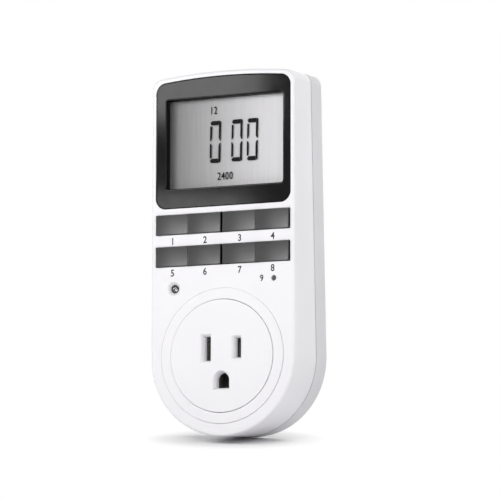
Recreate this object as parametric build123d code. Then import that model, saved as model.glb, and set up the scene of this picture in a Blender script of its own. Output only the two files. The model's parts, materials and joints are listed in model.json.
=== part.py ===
from build123d import *
import math
import os

# Millimetres and degrees. X is to the right, Y into the wall and Z up.
# The origin is on the wall face, midway between the two flat blades.

# Body
body_width = 60.0
body_height = 138.0
body_depth = 28.8  # wall face to front face, level with the blades
rear_depth = 10.0  # wall face to the seam between the shells
face_lean = 2.6  # the front face leans back from upright
round_drop = 2.9  # the centre of the round end is this far below the blades
arch_radius = 240.0
corner_radius = 4.5
shell_wall = 1.8
face_thickness = 2.2
rear_thickness = 2.2
front_edge_bevel = 0.7
rear_edge_bevel = 1.0
groove_width = 0.5
groove_depth = 0.4
tongue_height = 1.6

# Clearances
fit_gap = 0.15  # round a piece that drops into another
run_gap = 0.15  # between a moving piece and its seat
touch_gap = 0.05  # between pieces that bear on each other
merge = 0.3  # how far one feature of a moulding runs into the next

# Display
bezel_rim = 1.8  # white rim left round the dark panel
bezel_bottom = 53.6
bezel_corner = 4.2
bezel_thickness = 1.2
bezel_sink = 0.1
window_left_margin = 4.4  # dark panel left round the window
window_right_margin = 3.2
window_top_margin = 8.1
window_bottom_margin = 7.5
window_corner = 1.0
window_depth = 3.0  # front face to display cell
skirt_wall = 1.0
cell_overlap = 0.6  # the cell reaches this far past the window
cell_glass = 1.1
strip_width = 1.6
strip_inset = 0.5
holder_wall = 0.8

# Keys
key_columns = 4
key_rows = 2
key_row_height = 7.8
key_row_gap = 4.35
key_bridge = 2.25  # white bridge between the dark panel and the upper row
key_side_margin = 0.15  # from the row's opening to the shell's inner wall
key_end_gap = 0.4
key_pair_gap = 0.15
key_middle_gap = 1.0
key_proud = 1.0
key_dish_radius = 40.0
key_dish_depth = 0.15
key_flange = 0.8
key_flange_reach = 0.7
key_stem_length = 4.0
key_stem_width = 2.6
key_edge_bevel = 0.25
key_travel = 0.8

# Control board, parallel to the front face
board_depth = 7.8  # front face to the board
board_thickness = 1.2
board_edge_gap = 0.6
flat_count = 10  # flats round a hidden post, bar or hole
board_margin = 3.3  # from the lamp down to the board's lower edge
mat_thickness = 1.0
mat_margin = 1.3
dome_floor = 0.5  # what is left of a dome that is pressed flat
dome_length = 7.0
dome_width = 5.4
dome_slope = 35.0
board_post_radius = 1.9
board_screw_radius = 0.9
board_screw_head = 1.7
board_screw_head_height = 1.2
board_screw_length = 4.6
board_post_inset = 2.9
board_post_rise = 2.3  # above the dark panel's lower edge
board_post_drop = 3.5  # below the lower row of keys
board_post_gap = 1.25  # above the display holder
board_post_boss_gap = 4.0
chip_size = 10.0
chip_height = 1.4
chip_leg = 1.0
chip_leg_height = 0.5
chip_bevel = 0.3
chip_place = (-2.0, 68.0)
crystal_radius = 1.0
crystal_length = 6.0
crystal_place = (12.0, 58.0)

# Lamp and reset button
lamp_inset = 7.9
lamp_drop = 8.3  # below the lower row of keys
lamp_radius = 1.5
lamp_flange_radius = 1.9
lamp_flange_depth = 4.2
lamp_recess_radius = 2.6
lamp_recess_depth = 1.0
lamp_sink = 0.2
lamp_bevel = 0.7
lamp_lead = 0.5
lamp_lead_pitch = 2.54
reset_inset = 6.9
reset_drop = 6.1
reset_hole_radius = 1.05
reset_sink = 0.8
reset_flange_radius = 1.5
reset_flange = 0.7
reset_tip_radius = 0.7
reset_travel = 0.5
switch_size = 3.6
switch_height = 2.6

# Outlet
blade_spacing = 12.7
ground_drop = 11.9
outlet_margin = 4.7  # from the body's side to the raised ring
outlet_ring_width = 4.1
outlet_rise = 0.35
outlet_flange = 1.1  # how far the flange reaches past the bore
outlet_flange_thickness = 0.9
outlet_flange_flat_count = 24
slot_width = 2.1
neutral_slot_height = 9.0
line_slot_height = 7.3
slot_lead_in = 0.85
ground_hole_radius = 2.7
ground_hole_flat = 3.1  # from the hole's centre down to its flat
contact_thickness = 0.5
contact_height = 6.6
contact_mouth_depth = 4.6
contact_flare = 0.7
contact_flare_length = 1.8
carrier_top = 9.0
carrier_bottom = 19.6
carrier_half_width = 14.0
carrier_corner = 6.0
carrier_gap = 0.3  # from a contact to the carrier round it
carrier_leg_width = 4.0
carrier_leg_level = -5.0

# Plug
blade_thickness = 1.52
blade_width = 6.35
blade_length = 17.5
blade_tip_radius = 2.0
blade_hole_radius = 1.6
blade_hole_from_tip = 5.0
blade_shoulder = 1.6
blade_shoulder_depth = 2.4
blade_tail_width = 5.0
pin_radius = 2.38
pin_collar_radius = 2.7  # where the pin passes through the rear housing
pin_length = 20.6
pin_tip_bevel = 1.0
pin_tip_length = 2.0
pin_flange_width = 7.2
pin_flange = 1.6
pin_tail_radius = 1.8
retainer_thickness = 3.2
retainer_margin = 2.4
tail_proud = 2.0
pin_tail_proud = 0.2
peg_width = 2.6
peg_place = (6.6, -11.9)

# Housing screws
screw_radius = 1.2
screw_length = 12.0
screw_head_radius = 2.3
screw_head_height = 1.7
screw_head_seat = 4.2
pilot_gap = 0.03
front_boss_radius = 2.4
rear_boss_radius = 3.2
lower_boss_angle = 48.0

# Power board, parallel to the wall
standoff_height = 1.6
standoff_radius = 2.6
power_board_thickness = 1.6
power_board_bottom = 24.0
power_board_height = 54.0
power_board_gap = 1.7
power_screw_inset = 3.4
power_screw_radius = 1.1
power_screw_head = 2.1
power_screw_head_height = 1.4
power_screw_length = 3.4
rib_thickness = 1.2
rib_height = 1.2
rib_place = 14.0

# Parts on the power board, placed from its lower edge
relay_place = (6.0, 13.0)
relay_length = 24.0
relay_width = 12.4
relay_height = 9.4
relay_wall = 0.7
relay_base_height = 1.4
relay_end_gap = 0.5
yoke_thickness = 0.8
yoke_half_width = 3.0
coil_radius = 2.4
coil_flange_radius = 2.9
coil_flange = 0.7
coil_length = 18.4
core_radius = 1.2
pole_radius = 2.1
armature_thickness = 0.8
armature_swing = 5.0
contact_button_radius = 0.85
contact_button_height = 0.5
contact_button_place = (4.4, 6.6)  # beside the coil, and up from the board
contact_strip = 0.5
film_place = (-15.0, 26.0)
film_size = (18.0, 12.0, 8.0)
film_edge_bevel = 0.8
smoothing_place = (-19.0, 42.0)
smoothing_radius = 3.5
smoothing_length = 12.0
smoothing_bevel = 0.7
varistor_place = (-17.0, 13.0)
varistor_radius = 4.6
varistor_thickness = 3.4
varistor_bevel = 0.8
diode_place = (-4.0, 44.0)
diode_radius = 1.35
diode_length = 5.2
diode_pitch = 4.4
diode_count = 4
diode_lead = 0.8
diode_lead_length = 1.6
cell_place = (14.0, 33.0)
cell_radius = 5.8
cell_height = 5.4
cell_shoulder = 0.9
ribbon_place = 46.0
ribbon_rise = 6.0
ribbon_width = 12.0
ribbon_side = 18.0
ribbon_thickness = 0.8
ribbon_bend = 1.6
lead_radius = 0.9
lead_bend = 1.4
lead_flat_count = 6
lead_inset = 3.4
lead_places = [-12.0, 1.0, 16.0]  # neutral, line contact, line blade
lead_climb = 5.0

# Worked out from the sizes above
lean_cos = math.cos(math.radians(face_lean))
lean_sin = math.sin(math.radians(face_lean))
back = Plane.XZ  # heights here run from the wall face towards the front
face = Plane(origin=(0, -body_depth, 0), x_dir=(1, 0, 0), z_dir=(0, -lean_cos, lean_sin))
apex = body_height - body_width / 2 - round_drop
inner_half = body_width / 2 - shell_wall

# Display
bezel_half = body_width / 2 - bezel_rim
window_width = 2 * bezel_half - window_left_margin - window_right_margin
window_shift = (window_left_margin - window_right_margin) / 2
window_bottom = bezel_bottom + window_bottom_margin
window_height = apex - bezel_rim - window_top_margin - window_bottom
cell_width = window_width + 2 * cell_overlap
cell_height_span = window_height + 2 * cell_overlap
cell_bottom = window_bottom - cell_overlap
holder_top = cell_bottom + cell_height_span + fit_gap + holder_wall

# Keys, lamp and reset button
row_half = inner_half - key_side_margin
key_pairs = key_columns // 2
key_room = 2 * (row_half - key_end_gap) - key_pairs * key_pair_gap - (key_pairs - 1) * key_middle_gap
key_width = key_room / key_columns
key_cap_height = key_row_height - 2 * run_gap
key_row_pitch = key_row_height + key_row_gap
key_top_row = bezel_bottom - key_bridge - key_row_height / 2
key_rows_end = key_top_row - (key_rows - 1) * key_row_pitch - key_row_height / 2
dome_height = key_travel + dome_floor
lamp_place = (lamp_inset - inner_half, key_rows_end - lamp_drop)
reset_place = (inner_half - reset_inset, key_rows_end - reset_drop)

# Bosses and posts
boss_reach = inner_half - rear_boss_radius + merge
upper_boss = (boss_reach, holder_top + fit_gap + front_boss_radius)
lower_boss = (
    boss_reach * math.cos(math.radians(lower_boss_angle)),
    -round_drop - boss_reach * math.sin(math.radians(lower_boss_angle)),
)
housing_bosses = [(side * x, z) for x, z in (upper_boss, lower_boss) for side in (-1, 1)]
board_top = holder_top + board_post_gap + 2 * board_post_radius
board_bottom = lamp_place[1] - board_margin
board_posts = [
    (inner_half - board_post_inset, bezel_bottom + board_post_rise),
    (inner_half - board_post_inset, key_rows_end - board_post_drop),
    (boss_reach - front_boss_radius - board_post_radius - board_post_boss_gap, board_top - board_post_radius),
]
power_front = rear_thickness + standoff_height + power_board_thickness
power = Plane.XZ.offset(power_front)  # heights here run from the power board's front
power_board_width = 2 * (inner_half - power_board_gap)
power_corners = [
    (side * (power_board_width / 2 - power_screw_inset), level)
    for side in (-1, 1)
    for level in (
        power_board_bottom + power_screw_inset,
        power_board_bottom + power_board_height - power_screw_inset,
    )
]

# Outlet and plug
outlet_ring_radius = body_width / 2 - outlet_margin
outlet_radius = outlet_ring_radius - outlet_ring_width
outlet_proud = 2 * outlet_rise
outlet_back = face_thickness + touch_gap + outlet_flange_thickness
retainer_back = rear_thickness + retainer_thickness
tail_end = retainer_back + tail_proud
pin_tail_end = retainer_back + pin_tail_proud
contact_base_depth = blade_length + fit_gap - outlet_proud + contact_thickness
ground_base_depth = pin_length + fit_gap - outlet_proud + contact_thickness
carrier_depth = contact_base_depth - contact_thickness - fit_gap
tab_top = contact_height / 2 + contact_height
lead_lap = lead_radius * math.tan(math.pi / 8)

# The relay's inner pieces, up from the board and along its length from its middle
relay_floor = relay_base_height + yoke_thickness
relay_axis = relay_floor + coil_flange_radius + touch_gap
relay_top = relay_axis + coil_flange_radius
relay_left = -relay_length / 2 + relay_wall + relay_end_gap
coil_left = relay_left + yoke_thickness
coil_right = coil_left + coil_length
pole_face = coil_right + yoke_thickness
swing_slope = math.tan(math.radians(armature_swing))
armature_gap = (relay_axis + pole_radius - relay_floor) * swing_slope + touch_gap
armature_face = pole_face + armature_gap
armature_back = armature_face + armature_thickness
contact_top = contact_button_place[1] + contact_button_radius
contact_gap = (contact_top - relay_floor) * swing_slope + touch_gap


def block(low, high):
    size = [b - a for a, b in zip(low, high)]
    middle = [(a + b) / 2 for a, b in zip(low, high)]
    return Pos(*middle) * Box(*size)


def post(place, radius, low, high):
    return Pos(place[0], place[1], (low + high) / 2) * Cylinder(radius, high - low)


def posts(places, radius, low, high):
    return Part() + [post(place, radius, low, high) for place in places]


def round_bar(place, radius, low, high):
    return Pos(place[0], place[1], low) * extrude(RegularPolygon(radius, flat_count), high - low)


def round_bars(places, radius, low, high):
    return Part() + [round_bar(place, radius, low, high) for place in places]


def both_sides(places):
    return [(side * x, y) for x, y in places for side in (-1, 1)]


def body_outline(inset):
    half = body_width / 2 - inset
    arch = arch_radius - inset
    shoulder = apex - inset - arch + math.sqrt(arch**2 - half**2)
    rim = [
        Line((-half, -round_drop), (-half, shoulder)),
        ThreePointArc((-half, shoulder), (0, apex - inset), (half, shoulder)),
        Line((half, shoulder), (half, -round_drop)),
        ThreePointArc((half, -round_drop), (0, -round_drop - half), (-half, -round_drop)),
    ]
    panel = make_face(Curve() + rim)
    return fillet(panel.vertices().group_by(Axis.Y)[-1], corner_radius - inset)


def bezel_outline(inset):
    # The panel's upper edge keeps the body's arch, and its four corners are rounded alike.
    half = bezel_half - inset
    arch = arch_radius - bezel_rim - inset
    top = apex - bezel_rim - inset
    shoulder = top - arch + math.sqrt(arch**2 - half**2)
    bottom = bezel_bottom + inset
    rim = [
        Line((-half, bottom), (-half, shoulder)),
        ThreePointArc((-half, shoulder), (0, top), (half, shoulder)),
        Line((half, shoulder), (half, bottom)),
        Line((half, bottom), (-half, bottom)),
    ]
    return fillet(make_face(Curve() + rim).vertices(), bezel_corner - inset)


def window_outline():
    panel = RectangleRounded(window_width, window_height, window_corner)
    return Pos(window_shift, window_bottom + window_height / 2) * panel


def skirt_outline(grow):
    reach = 2 * (skirt_wall + grow)
    return Pos(window_shift, window_bottom + window_height / 2) * Rectangle(
        window_width + reach, window_height + reach
    )


def slab(sketch, low, high):
    return Pos(0, 0, low) * extrude(sketch, high - low)


def ground_hole(grow):
    # A round hole with a flat across its lower side.
    radius = ground_hole_radius + grow
    drop = ground_hole_flat + grow
    outline = Circle(radius) + Pos(0, -drop / 2) * Rectangle(2 * radius, drop)
    return Pos(0, -ground_drop) * outline


def pegs(grow, low, high):
    # Two square pegs stand on the rear housing and pass through the blade retainer.
    half = peg_width / 2 + grow
    pair = Part()
    for x, y in both_sides([peg_place]):
        pair += block((x - half, y - half, low), (x + half, y + half, high))
    return pair


def front_housing():
    outer = extrude(back.offset(rear_depth) * body_outline(0), body_depth)
    outer = split(outer, bisect_by=face, keep=Keep.BOTTOM)
    outer = chamfer(outer.faces().sort_by(Axis.Y)[0].edges(), front_edge_bevel)
    hollow = extrude(back.offset(rear_depth) * body_outline(shell_wall), body_depth)
    hollow = split(hollow, bisect_by=face.offset(-face_thickness), keep=Keep.BOTTOM)
    rebate_inset = (shell_wall - fit_gap) / 2
    rebate = extrude(back.offset(rear_depth) * body_outline(rebate_inset), tongue_height + fit_gap)
    bosses = (back * round_bars(housing_bosses, front_boss_radius, rear_depth, body_depth)) & outer
    round_centre = (0, -round_drop)
    raised = face * post(round_centre, outlet_ring_radius, -merge, outlet_rise)
    places = both_sides(board_posts)
    stands = face * round_bars(places, board_post_radius, -board_depth, -face_thickness + merge)
    shell = outer - hollow - rebate + bosses + raised + stands
    pilot = screw_radius + pilot_gap
    pilot_end = screw_head_seat + screw_length + merge
    shell -= back * round_bars(housing_bosses, pilot, rear_depth, pilot_end)
    board_pilot = board_screw_radius + pilot_gap
    board_pilot_end = board_screw_length - board_depth - board_thickness + merge
    shell -= face * round_bars(places, board_pilot, -board_depth, board_pilot_end)
    shell -= face * slab(bezel_outline(0), -bezel_thickness - bezel_sink, outlet_rise)
    shell -= face * slab(skirt_outline(fit_gap), -face_thickness - merge, 0)
    for row in range(key_rows):
        middle = key_top_row - row * key_row_pitch
        low = (-row_half, middle - key_row_height / 2, -face_thickness - merge)
        high = (row_half, middle + key_row_height / 2, merge)
        shell -= face * block(low, high)
    lamp_hole = post(lamp_place, lamp_radius + fit_gap, -face_thickness - merge, 0)
    recess = Cone(lamp_radius + fit_gap, lamp_recess_radius, lamp_recess_depth)
    lamp_hole += Pos(lamp_place[0], lamp_place[1], -lamp_recess_depth / 2) * recess
    shell -= face * lamp_hole
    shell -= face * post(reset_place, reset_hole_radius, -face_thickness - merge, merge)
    bore = outlet_radius + touch_gap
    shell -= face * post(round_centre, bore, -face_thickness - merge, outlet_proud)
    return shell


def rear_housing():
    outer = extrude(back * body_outline(0), rear_depth - groove_width)
    outer = chamfer(outer.faces().sort_by(Axis.Y)[-1].edges(), rear_edge_bevel)
    neck = extrude(back.offset(rear_depth - groove_width) * body_outline(groove_depth), groove_width)
    tongue_inset = (shell_wall + fit_gap) / 2
    tongue = extrude(back.offset(rear_depth) * body_outline(tongue_inset), tongue_height)
    hollow = extrude(back.offset(rear_thickness) * body_outline(shell_wall), rear_depth + tongue_height)
    inside = extrude(back * body_outline(shell_wall / 2), rear_depth)
    bosses = (back * round_bars(housing_bosses, rear_boss_radius, merge, rear_depth)) & inside
    floor = rear_thickness - merge
    stands = round_bars(power_corners, standoff_radius, floor, rear_thickness + standoff_height)
    ribs = Part()
    for side in (-1, 1):
        edge = side * rib_place - rib_thickness / 2
        low = (edge, power_board_bottom, floor)
        high = (edge + rib_thickness, power_board_bottom + power_board_height, rear_thickness + rib_height)
        ribs += block(low, high)
    shell = outer + neck + tongue - hollow + bosses + back * (stands + pegs(0, floor, retainer_back) + ribs)
    cuts = round_bars(housing_bosses, screw_radius + fit_gap, 0, rear_depth + tongue_height)
    cuts += posts(housing_bosses, screw_head_radius + fit_gap, -merge, screw_head_seat)
    cuts += round_bars(power_corners, power_screw_radius + pilot_gap, rear_thickness / 2, power_front)
    for side in (-1, 1):
        x = side * blade_spacing / 2
        half = (blade_thickness / 2 + fit_gap, blade_width / 2 + fit_gap)
        cuts += block((x - half[0], -half[1], -merge), (x + half[0], half[1], rear_thickness + merge))
    cuts += round_bar((0, -ground_drop), pin_collar_radius + fit_gap, -merge, rear_thickness + merge)
    return shell - back * cuts


def display_bezel():
    front = -bezel_sink
    plate = slab(bezel_outline(fit_gap), front - bezel_thickness, front)
    skirt = slab(skirt_outline(0), -window_depth, front)
    window = slab(window_outline(), -window_depth - merge, merge)
    return face * (plate + skirt - window)


def cell_block(grow, low, high):
    left = window_shift - cell_width / 2 - grow
    bottom = cell_bottom - grow
    right = window_shift + cell_width / 2 + grow
    top = cell_bottom + cell_height_span + grow
    return block((left, bottom, low), (right, top, high))


def lcd_cell():
    front = -window_depth
    whole = cell_block(0, front - 2 * cell_glass, front)
    return face * (whole - strips(front - 2 * cell_glass - merge, front - cell_glass, fit_gap))


def strips(low, high, grow):
    # One rubber strip runs along the cell's lower edge and one along its upper edge.
    pair = Part()
    length = cell_width - 2 * strip_inset
    for level in (cell_bottom + strip_width / 2, cell_bottom + cell_height_span - strip_width / 2):
        place = (window_shift, level, (low + high) / 2)
        pair += Pos(*place) * Box(length + 2 * grow, strip_width + 2 * grow, high - low)
    return pair


def zebra_strips():
    return face * strips(-board_depth, -window_depth - cell_glass, 0)


def lcd_holder():
    low = -board_depth
    walls = cell_block(fit_gap + holder_wall, low, -window_depth - fit_gap)
    pocket = cell_block(fit_gap, -window_depth - 2 * cell_glass, 0)
    holder = walls - pocket - strips(low - merge, 0, fit_gap)
    hollow_depth = -window_depth - 2 * cell_glass - holder_wall
    margin = strip_width + 2 * holder_wall
    hollow = cell_block(-margin, low - merge, hollow_depth)
    return face * (holder - hollow)


def control_board():
    half = inner_half - board_edge_gap
    board = block((-half, board_bottom, 0), (half, board_top, board_thickness))
    for side in (-1, 1):
        reach = front_boss_radius + 2 * board_edge_gap
        inner = side * (upper_boss[0] - reach)
        outer = side * body_width / 2
        low = (min(inner, outer), upper_boss[1] - reach, -merge)
        high = (max(inner, outer), apex, board_thickness + merge)
        board -= block(low, high)
    board -= round_bars(both_sides(board_posts), board_screw_radius + fit_gap, -merge, board_thickness + merge)
    return face * Pos(0, 0, -board_depth - board_thickness) * board


def screws(places, radius, length, head_radius, head_height, seat):
    shanks = round_bars(places, radius, seat, seat + length)
    return shanks + round_bars(places, head_radius, seat - head_height, seat)


def control_board_screws():
    seat = -board_depth - board_thickness
    head = (board_screw_head, board_screw_head_height)
    return face * screws(both_sides(board_posts), board_screw_radius, board_screw_length, *head, seat)


def control_chip():
    # A square package on the board's rear side, with a fringe of legs on all four sides.
    half = chip_size / 2
    reach = half + chip_leg
    inner = half - chip_leg
    body = block((-half, -half, -chip_height), (half, half, 0))
    body = chamfer(body.faces().sort_by(Axis.Z)[0].edges(), chip_bevel)
    body += block((-reach, -inner, -chip_leg_height), (reach, inner, 0))
    body += block((-inner, -reach, -chip_leg_height), (inner, reach, 0))
    return face * Pos(*chip_place, -board_depth - board_thickness) * body


def crystal():
    height = -board_depth - board_thickness - crystal_radius - touch_gap
    return face * Pos(*crystal_place, 0) * along_x(crystal_radius, 0, crystal_length, height)


def key_middle(row, column):
    # Keys sit in pairs, with a wider gap from pair to pair.
    first = key_end_gap + key_width / 2 - row_half
    wider = (column // 2) * (key_middle_gap - key_pair_gap)
    x = first + column * (key_width + key_pair_gap) + wider
    return x, key_top_row - row * key_row_pitch


def key_mat():
    front = -board_depth + mat_thickness
    top = key_top_row + key_row_height / 2 + mat_margin
    mat = block((-row_half, key_rows_end - mat_margin, -board_depth), (row_half, top, front))
    for row in range(key_rows):
        for column in range(key_columns):
            x, y = key_middle(row, column)
            dome = extrude(Rectangle(dome_length, dome_width), dome_height, taper=dome_slope)
            mat += Pos(x, y, front) * dome
    return face * mat


def key(row, column):
    x, y = key_middle(row, column)
    half = key_width / 2
    tall = key_cap_height / 2
    flange_top = -face_thickness - run_gap
    flange_low = flange_top - key_flange
    cap = block((-half, -tall, flange_low), (half, tall, key_proud))
    dish = Rotation(0, 90, 0) * Cylinder(key_dish_radius, 2 * key_width)
    cap -= Pos(0, 0, key_proud + key_dish_radius - key_dish_depth) * dish
    rim = cap.edges().filter_by(GeomType.LINE, reverse=True)
    cap = chamfer(rim, key_edge_bevel)
    reach = tall + run_gap + key_flange_reach
    cap += block((-half, -reach, flange_low), (half, reach, flange_top))
    stem_end = -board_depth + mat_thickness + dome_height + touch_gap
    stem = (key_stem_length / 2, key_stem_width / 2)
    cap += block((-stem[0], -stem[1], stem_end), (stem[0], stem[1], flange_low + merge))
    return face * Pos(x, y, 0) * cap


def indicator_lamp():
    front = -lamp_sink
    body = post((0, 0), lamp_radius, -lamp_flange_depth, front)
    body = chamfer(body.faces().sort_by(Axis.Z)[-1].edges(), lamp_bevel)
    flange = round_bar((0, 0), lamp_flange_radius, -lamp_flange_depth, -face_thickness - touch_gap)
    leads = Part()
    for side in (-1, 1):
        half = lamp_lead / 2
        x = side * lamp_lead_pitch / 4
        leads += block((x - half, -half, -board_depth), (x + half, half, merge - lamp_flange_depth))
    return face * Pos(*lamp_place, 0) * (body + flange + leads)


def reset_button():
    top = -face_thickness - run_gap
    low = top - reset_flange
    plunger = round_bar((0, 0), reset_hole_radius - run_gap, low, -reset_sink)
    plunger += round_bar((0, 0), reset_flange_radius, low, top)
    tip_end = -board_depth + switch_height - reset_travel - run_gap
    plunger += round_bar((0, 0), reset_tip_radius, tip_end, low)
    return face * Pos(*reset_place, 0) * plunger


def reset_switch():
    half = switch_size / 2
    low = -board_depth
    body = block((-half, -half, low), (half, half, low + switch_height))
    well = low + switch_height - 2 * reset_travel - 2 * run_gap
    body -= round_bar((0, 0), reset_tip_radius + run_gap, well, 0)
    return face * Pos(*reset_place, 0) * body


def tapered_hole(outline, wide_outline, through):
    # A straight hole whose mouth widens at 45 degrees towards the front.
    mouth = Pos(0, 0, outlet_proud) * extrude(wide_outline, -slot_lead_in, taper=45)
    return slab(outline, -through, outlet_proud) + mouth


def outlet_face():
    centre = (0, -round_drop)
    disc = post(centre, outlet_radius, -face_thickness - merge, outlet_proud)
    flange_top = -face_thickness - touch_gap
    flange = Pos(*centre) * RegularPolygon(outlet_radius + outlet_flange, outlet_flange_flat_count)
    disc += slab(flange, -outlet_back, flange_top)
    through = outlet_back + merge
    for side, height in ((-1, neutral_slot_height), (1, line_slot_height)):
        place = Pos(side * blade_spacing / 2, 0)
        mouth = Rectangle(slot_width + 2 * slot_lead_in, height + 2 * slot_lead_in)
        disc -= tapered_hole(place * Rectangle(slot_width, height), place * mouth, through)
    disc -= tapered_hole(ground_hole(0), ground_hole(slot_lead_in), through)
    return face * disc


def contact_carrier():
    half_width = carrier_half_width
    body = block((-half_width, -carrier_bottom, -carrier_depth), (half_width, carrier_top, -outlet_back))
    body = chamfer(body.edges().filter_by(Axis.Z), carrier_corner)
    half = blade_thickness / 2 + contact_thickness + contact_flare + carrier_gap
    tall = contact_height / 2 + carrier_gap
    slot_tall = max(neutral_slot_height / 2 + carrier_gap, tall)
    for side in (-1, 1):
        x = side * blade_spacing / 2
        low = (x - half, -slot_tall, -carrier_depth - merge)
        body -= block(low, (x + half, slot_tall, 0))
    wide = pin_radius + contact_thickness + contact_flare + carrier_gap
    low = (-wide, -ground_drop - ground_hole_flat - 2 * carrier_gap, -carrier_depth - merge)
    body -= block(low, (wide, -ground_drop + tall, 0))
    legs = Part()
    start = rear_thickness + touch_gap
    for side in (-1, 1):
        outer = side * half_width
        inner = side * (half_width - carrier_leg_width)
        low = (min(inner, outer), carrier_leg_level - carrier_leg_width / 2, start)
        high = (max(inner, outer), carrier_leg_level + carrier_leg_width / 2, body_depth - carrier_depth + merge)
        legs += block(low, high)
    return face * body + back * legs


def clip(gap, base_depth):
    # Two spring leaves joined by a base, flared at the mouth, as one bent strip.
    half = gap / 2 + contact_thickness / 2
    base = -base_depth + contact_thickness / 2
    throat = -contact_mouth_depth - contact_flare_length
    mouth = half + contact_flare
    bend = Polyline(
        (-mouth, -contact_mouth_depth),
        (-half, throat),
        (-half, base),
        (half, base),
        (half, throat),
        (mouth, -contact_mouth_depth),
    )
    strip = extrude(trace(bend, contact_thickness), contact_height / 2, both=True)
    return Rotation(90, 0, 0) * strip


def neutral_contact():
    leaf = Pos(-blade_spacing / 2, 0) * clip(blade_thickness + touch_gap, contact_base_depth)
    x = -blade_spacing / 2
    half = blade_thickness / 2
    tall = blade_tail_width / 2
    bridge_top = body_depth - contact_base_depth + contact_thickness / 2
    bridge = block((x - half, -tall, tail_end + touch_gap), (x + half, tall, bridge_top))
    return face * leaf + back * bridge


def line_contact():
    leaf = clip(blade_thickness + touch_gap, contact_base_depth)
    half = blade_thickness / 2
    tab = block((-half, 0, -contact_base_depth), (half, tab_top, contact_thickness - contact_base_depth))
    return face * Pos(blade_spacing / 2, 0) * (leaf + tab)


def ground_contact():
    leaf = Pos(0, -ground_drop) * clip(2 * pin_radius + touch_gap, ground_base_depth)
    base = body_depth - ground_base_depth
    rod = round_bar((0, -ground_drop), pin_tail_radius, pin_tail_end + touch_gap, base + contact_thickness)
    return face * leaf + back * rod


def blade(side):
    x = side * blade_spacing / 2
    half = blade_thickness / 2
    flat = block((x - half, -blade_width / 2, -blade_length), (x + half, blade_width / 2, rear_thickness))
    tip = flat.faces().sort_by(Axis.Z)[0].edges().filter_by(Axis.X)
    flat = fillet(tip, blade_tip_radius)
    wide = blade_width / 2 + blade_shoulder
    shoulder_end = rear_thickness + blade_shoulder_depth
    flat += block((x - half, -wide, rear_thickness), (x + half, wide, shoulder_end))
    tail = blade_tail_width / 2
    flat += block((x - half, -tail, shoulder_end - merge), (x + half, tail, tail_end))
    hole = Rotation(0, 90, 0) * Cylinder(blade_hole_radius, 2 * blade_thickness)
    return back * (flat - Pos(x, 0, blade_hole_from_tip - blade_length) * hole)


def ground_pin():
    place = (0, -ground_drop)
    pin = post(place, pin_radius, -pin_length, rear_thickness + merge)
    pin = chamfer(pin.faces().sort_by(Axis.Z)[0].edges(), pin_tip_length, pin_tip_bevel)
    pin += round_bar(place, pin_collar_radius, 0, rear_thickness + merge)
    flange = pin_flange_width / 2
    low = (-flange, -ground_drop - flange, rear_thickness)
    pin += block(low, (flange, -ground_drop + flange, rear_thickness + pin_flange))
    pin += round_bar(place, pin_tail_radius, rear_thickness, pin_tail_end)
    return back * pin


def blade_retainer():
    flange = pin_flange_width / 2
    half = blade_spacing / 2 + blade_thickness / 2 + retainer_margin
    top = blade_width / 2 + blade_shoulder + retainer_margin / 2
    bottom = -ground_drop - flange - retainer_margin / 2
    plate = block((-half, bottom, rear_thickness), (half, top, retainer_back))
    for side in (-1, 1):
        x = side * blade_spacing / 2
        side_gap = blade_thickness / 2 + fit_gap
        wide = blade_width / 2 + blade_shoulder + fit_gap
        tail = blade_tail_width / 2 + fit_gap
        pocket = rear_thickness + blade_shoulder_depth + fit_gap
        plate -= block((x - side_gap, -wide, 0), (x + side_gap, wide, pocket))
        plate -= block((x - side_gap, -tail, 0), (x + side_gap, tail, retainer_back + merge))
    reach = flange + fit_gap
    low = (-reach, -ground_drop - reach, 0)
    plate -= block(low, (reach, -ground_drop + reach, rear_thickness + pin_flange + fit_gap))
    plate -= round_bar((0, -ground_drop), pin_tail_radius + fit_gap, 0, retainer_back + merge)
    return back * (plate - pegs(touch_gap, 0, retainer_back + merge))


def housing_screws():
    head = (screw_head_radius, screw_head_height)
    return back * screws(housing_bosses, screw_radius, screw_length, *head, screw_head_seat)


def power_board():
    half = power_board_width / 2
    top = power_board_bottom + power_board_height
    board = block((-half, power_board_bottom, -power_board_thickness), (half, top, 0))
    gap = power_screw_radius + fit_gap
    board -= round_bars(power_corners, gap, -power_board_thickness - merge, merge)
    return power * board


def power_board_screws():
    shanks = round_bars(power_corners, power_screw_radius, -power_screw_length, 0)
    return power * (shanks + round_bars(power_corners, power_screw_head, 0, power_screw_head_height))


def on_power_board(place, solid):
    return power * Pos(place[0], power_board_bottom + place[1], 0) * solid


def along_x(radius, low, high, height):
    return Pos(0, 0, height) * Rotation(0, 90, 0) * round_bar((0, 0), radius, low, high)


def along_y(radius, length):
    return Rotation(90, 0, 0) * round_bar((0, 0), radius, -length / 2, length / 2)


def relay_case():
    half = (relay_length / 2, relay_width / 2)
    case = block((-half[0], -half[1], 0), (half[0], half[1], relay_height))
    case = chamfer(case.edges().filter_by(Axis.Z), relay_wall)
    inner = (half[0] - relay_wall, half[1] - relay_wall)
    case -= block((-inner[0], -inner[1], -merge), (inner[0], inner[1], relay_height - relay_wall))
    return on_power_board(relay_place, case)


def relay_base():
    half = relay_length / 2 - relay_wall - fit_gap
    wide = relay_width / 2 - relay_wall - fit_gap
    return on_power_board(relay_place, block((-half, -wide, 0), (half, wide, relay_base_height)))


def relay_yoke():
    wide = yoke_half_width
    yoke = block((relay_left, -wide, relay_base_height), (armature_back, wide, relay_floor))
    yoke += block((relay_left, -wide, relay_base_height), (coil_left, wide, relay_top))
    yoke += along_x(core_radius, relay_left, pole_face, relay_axis)
    yoke += along_x(pole_radius, coil_right, pole_face, relay_axis)
    return on_power_board(relay_place, yoke)


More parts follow.
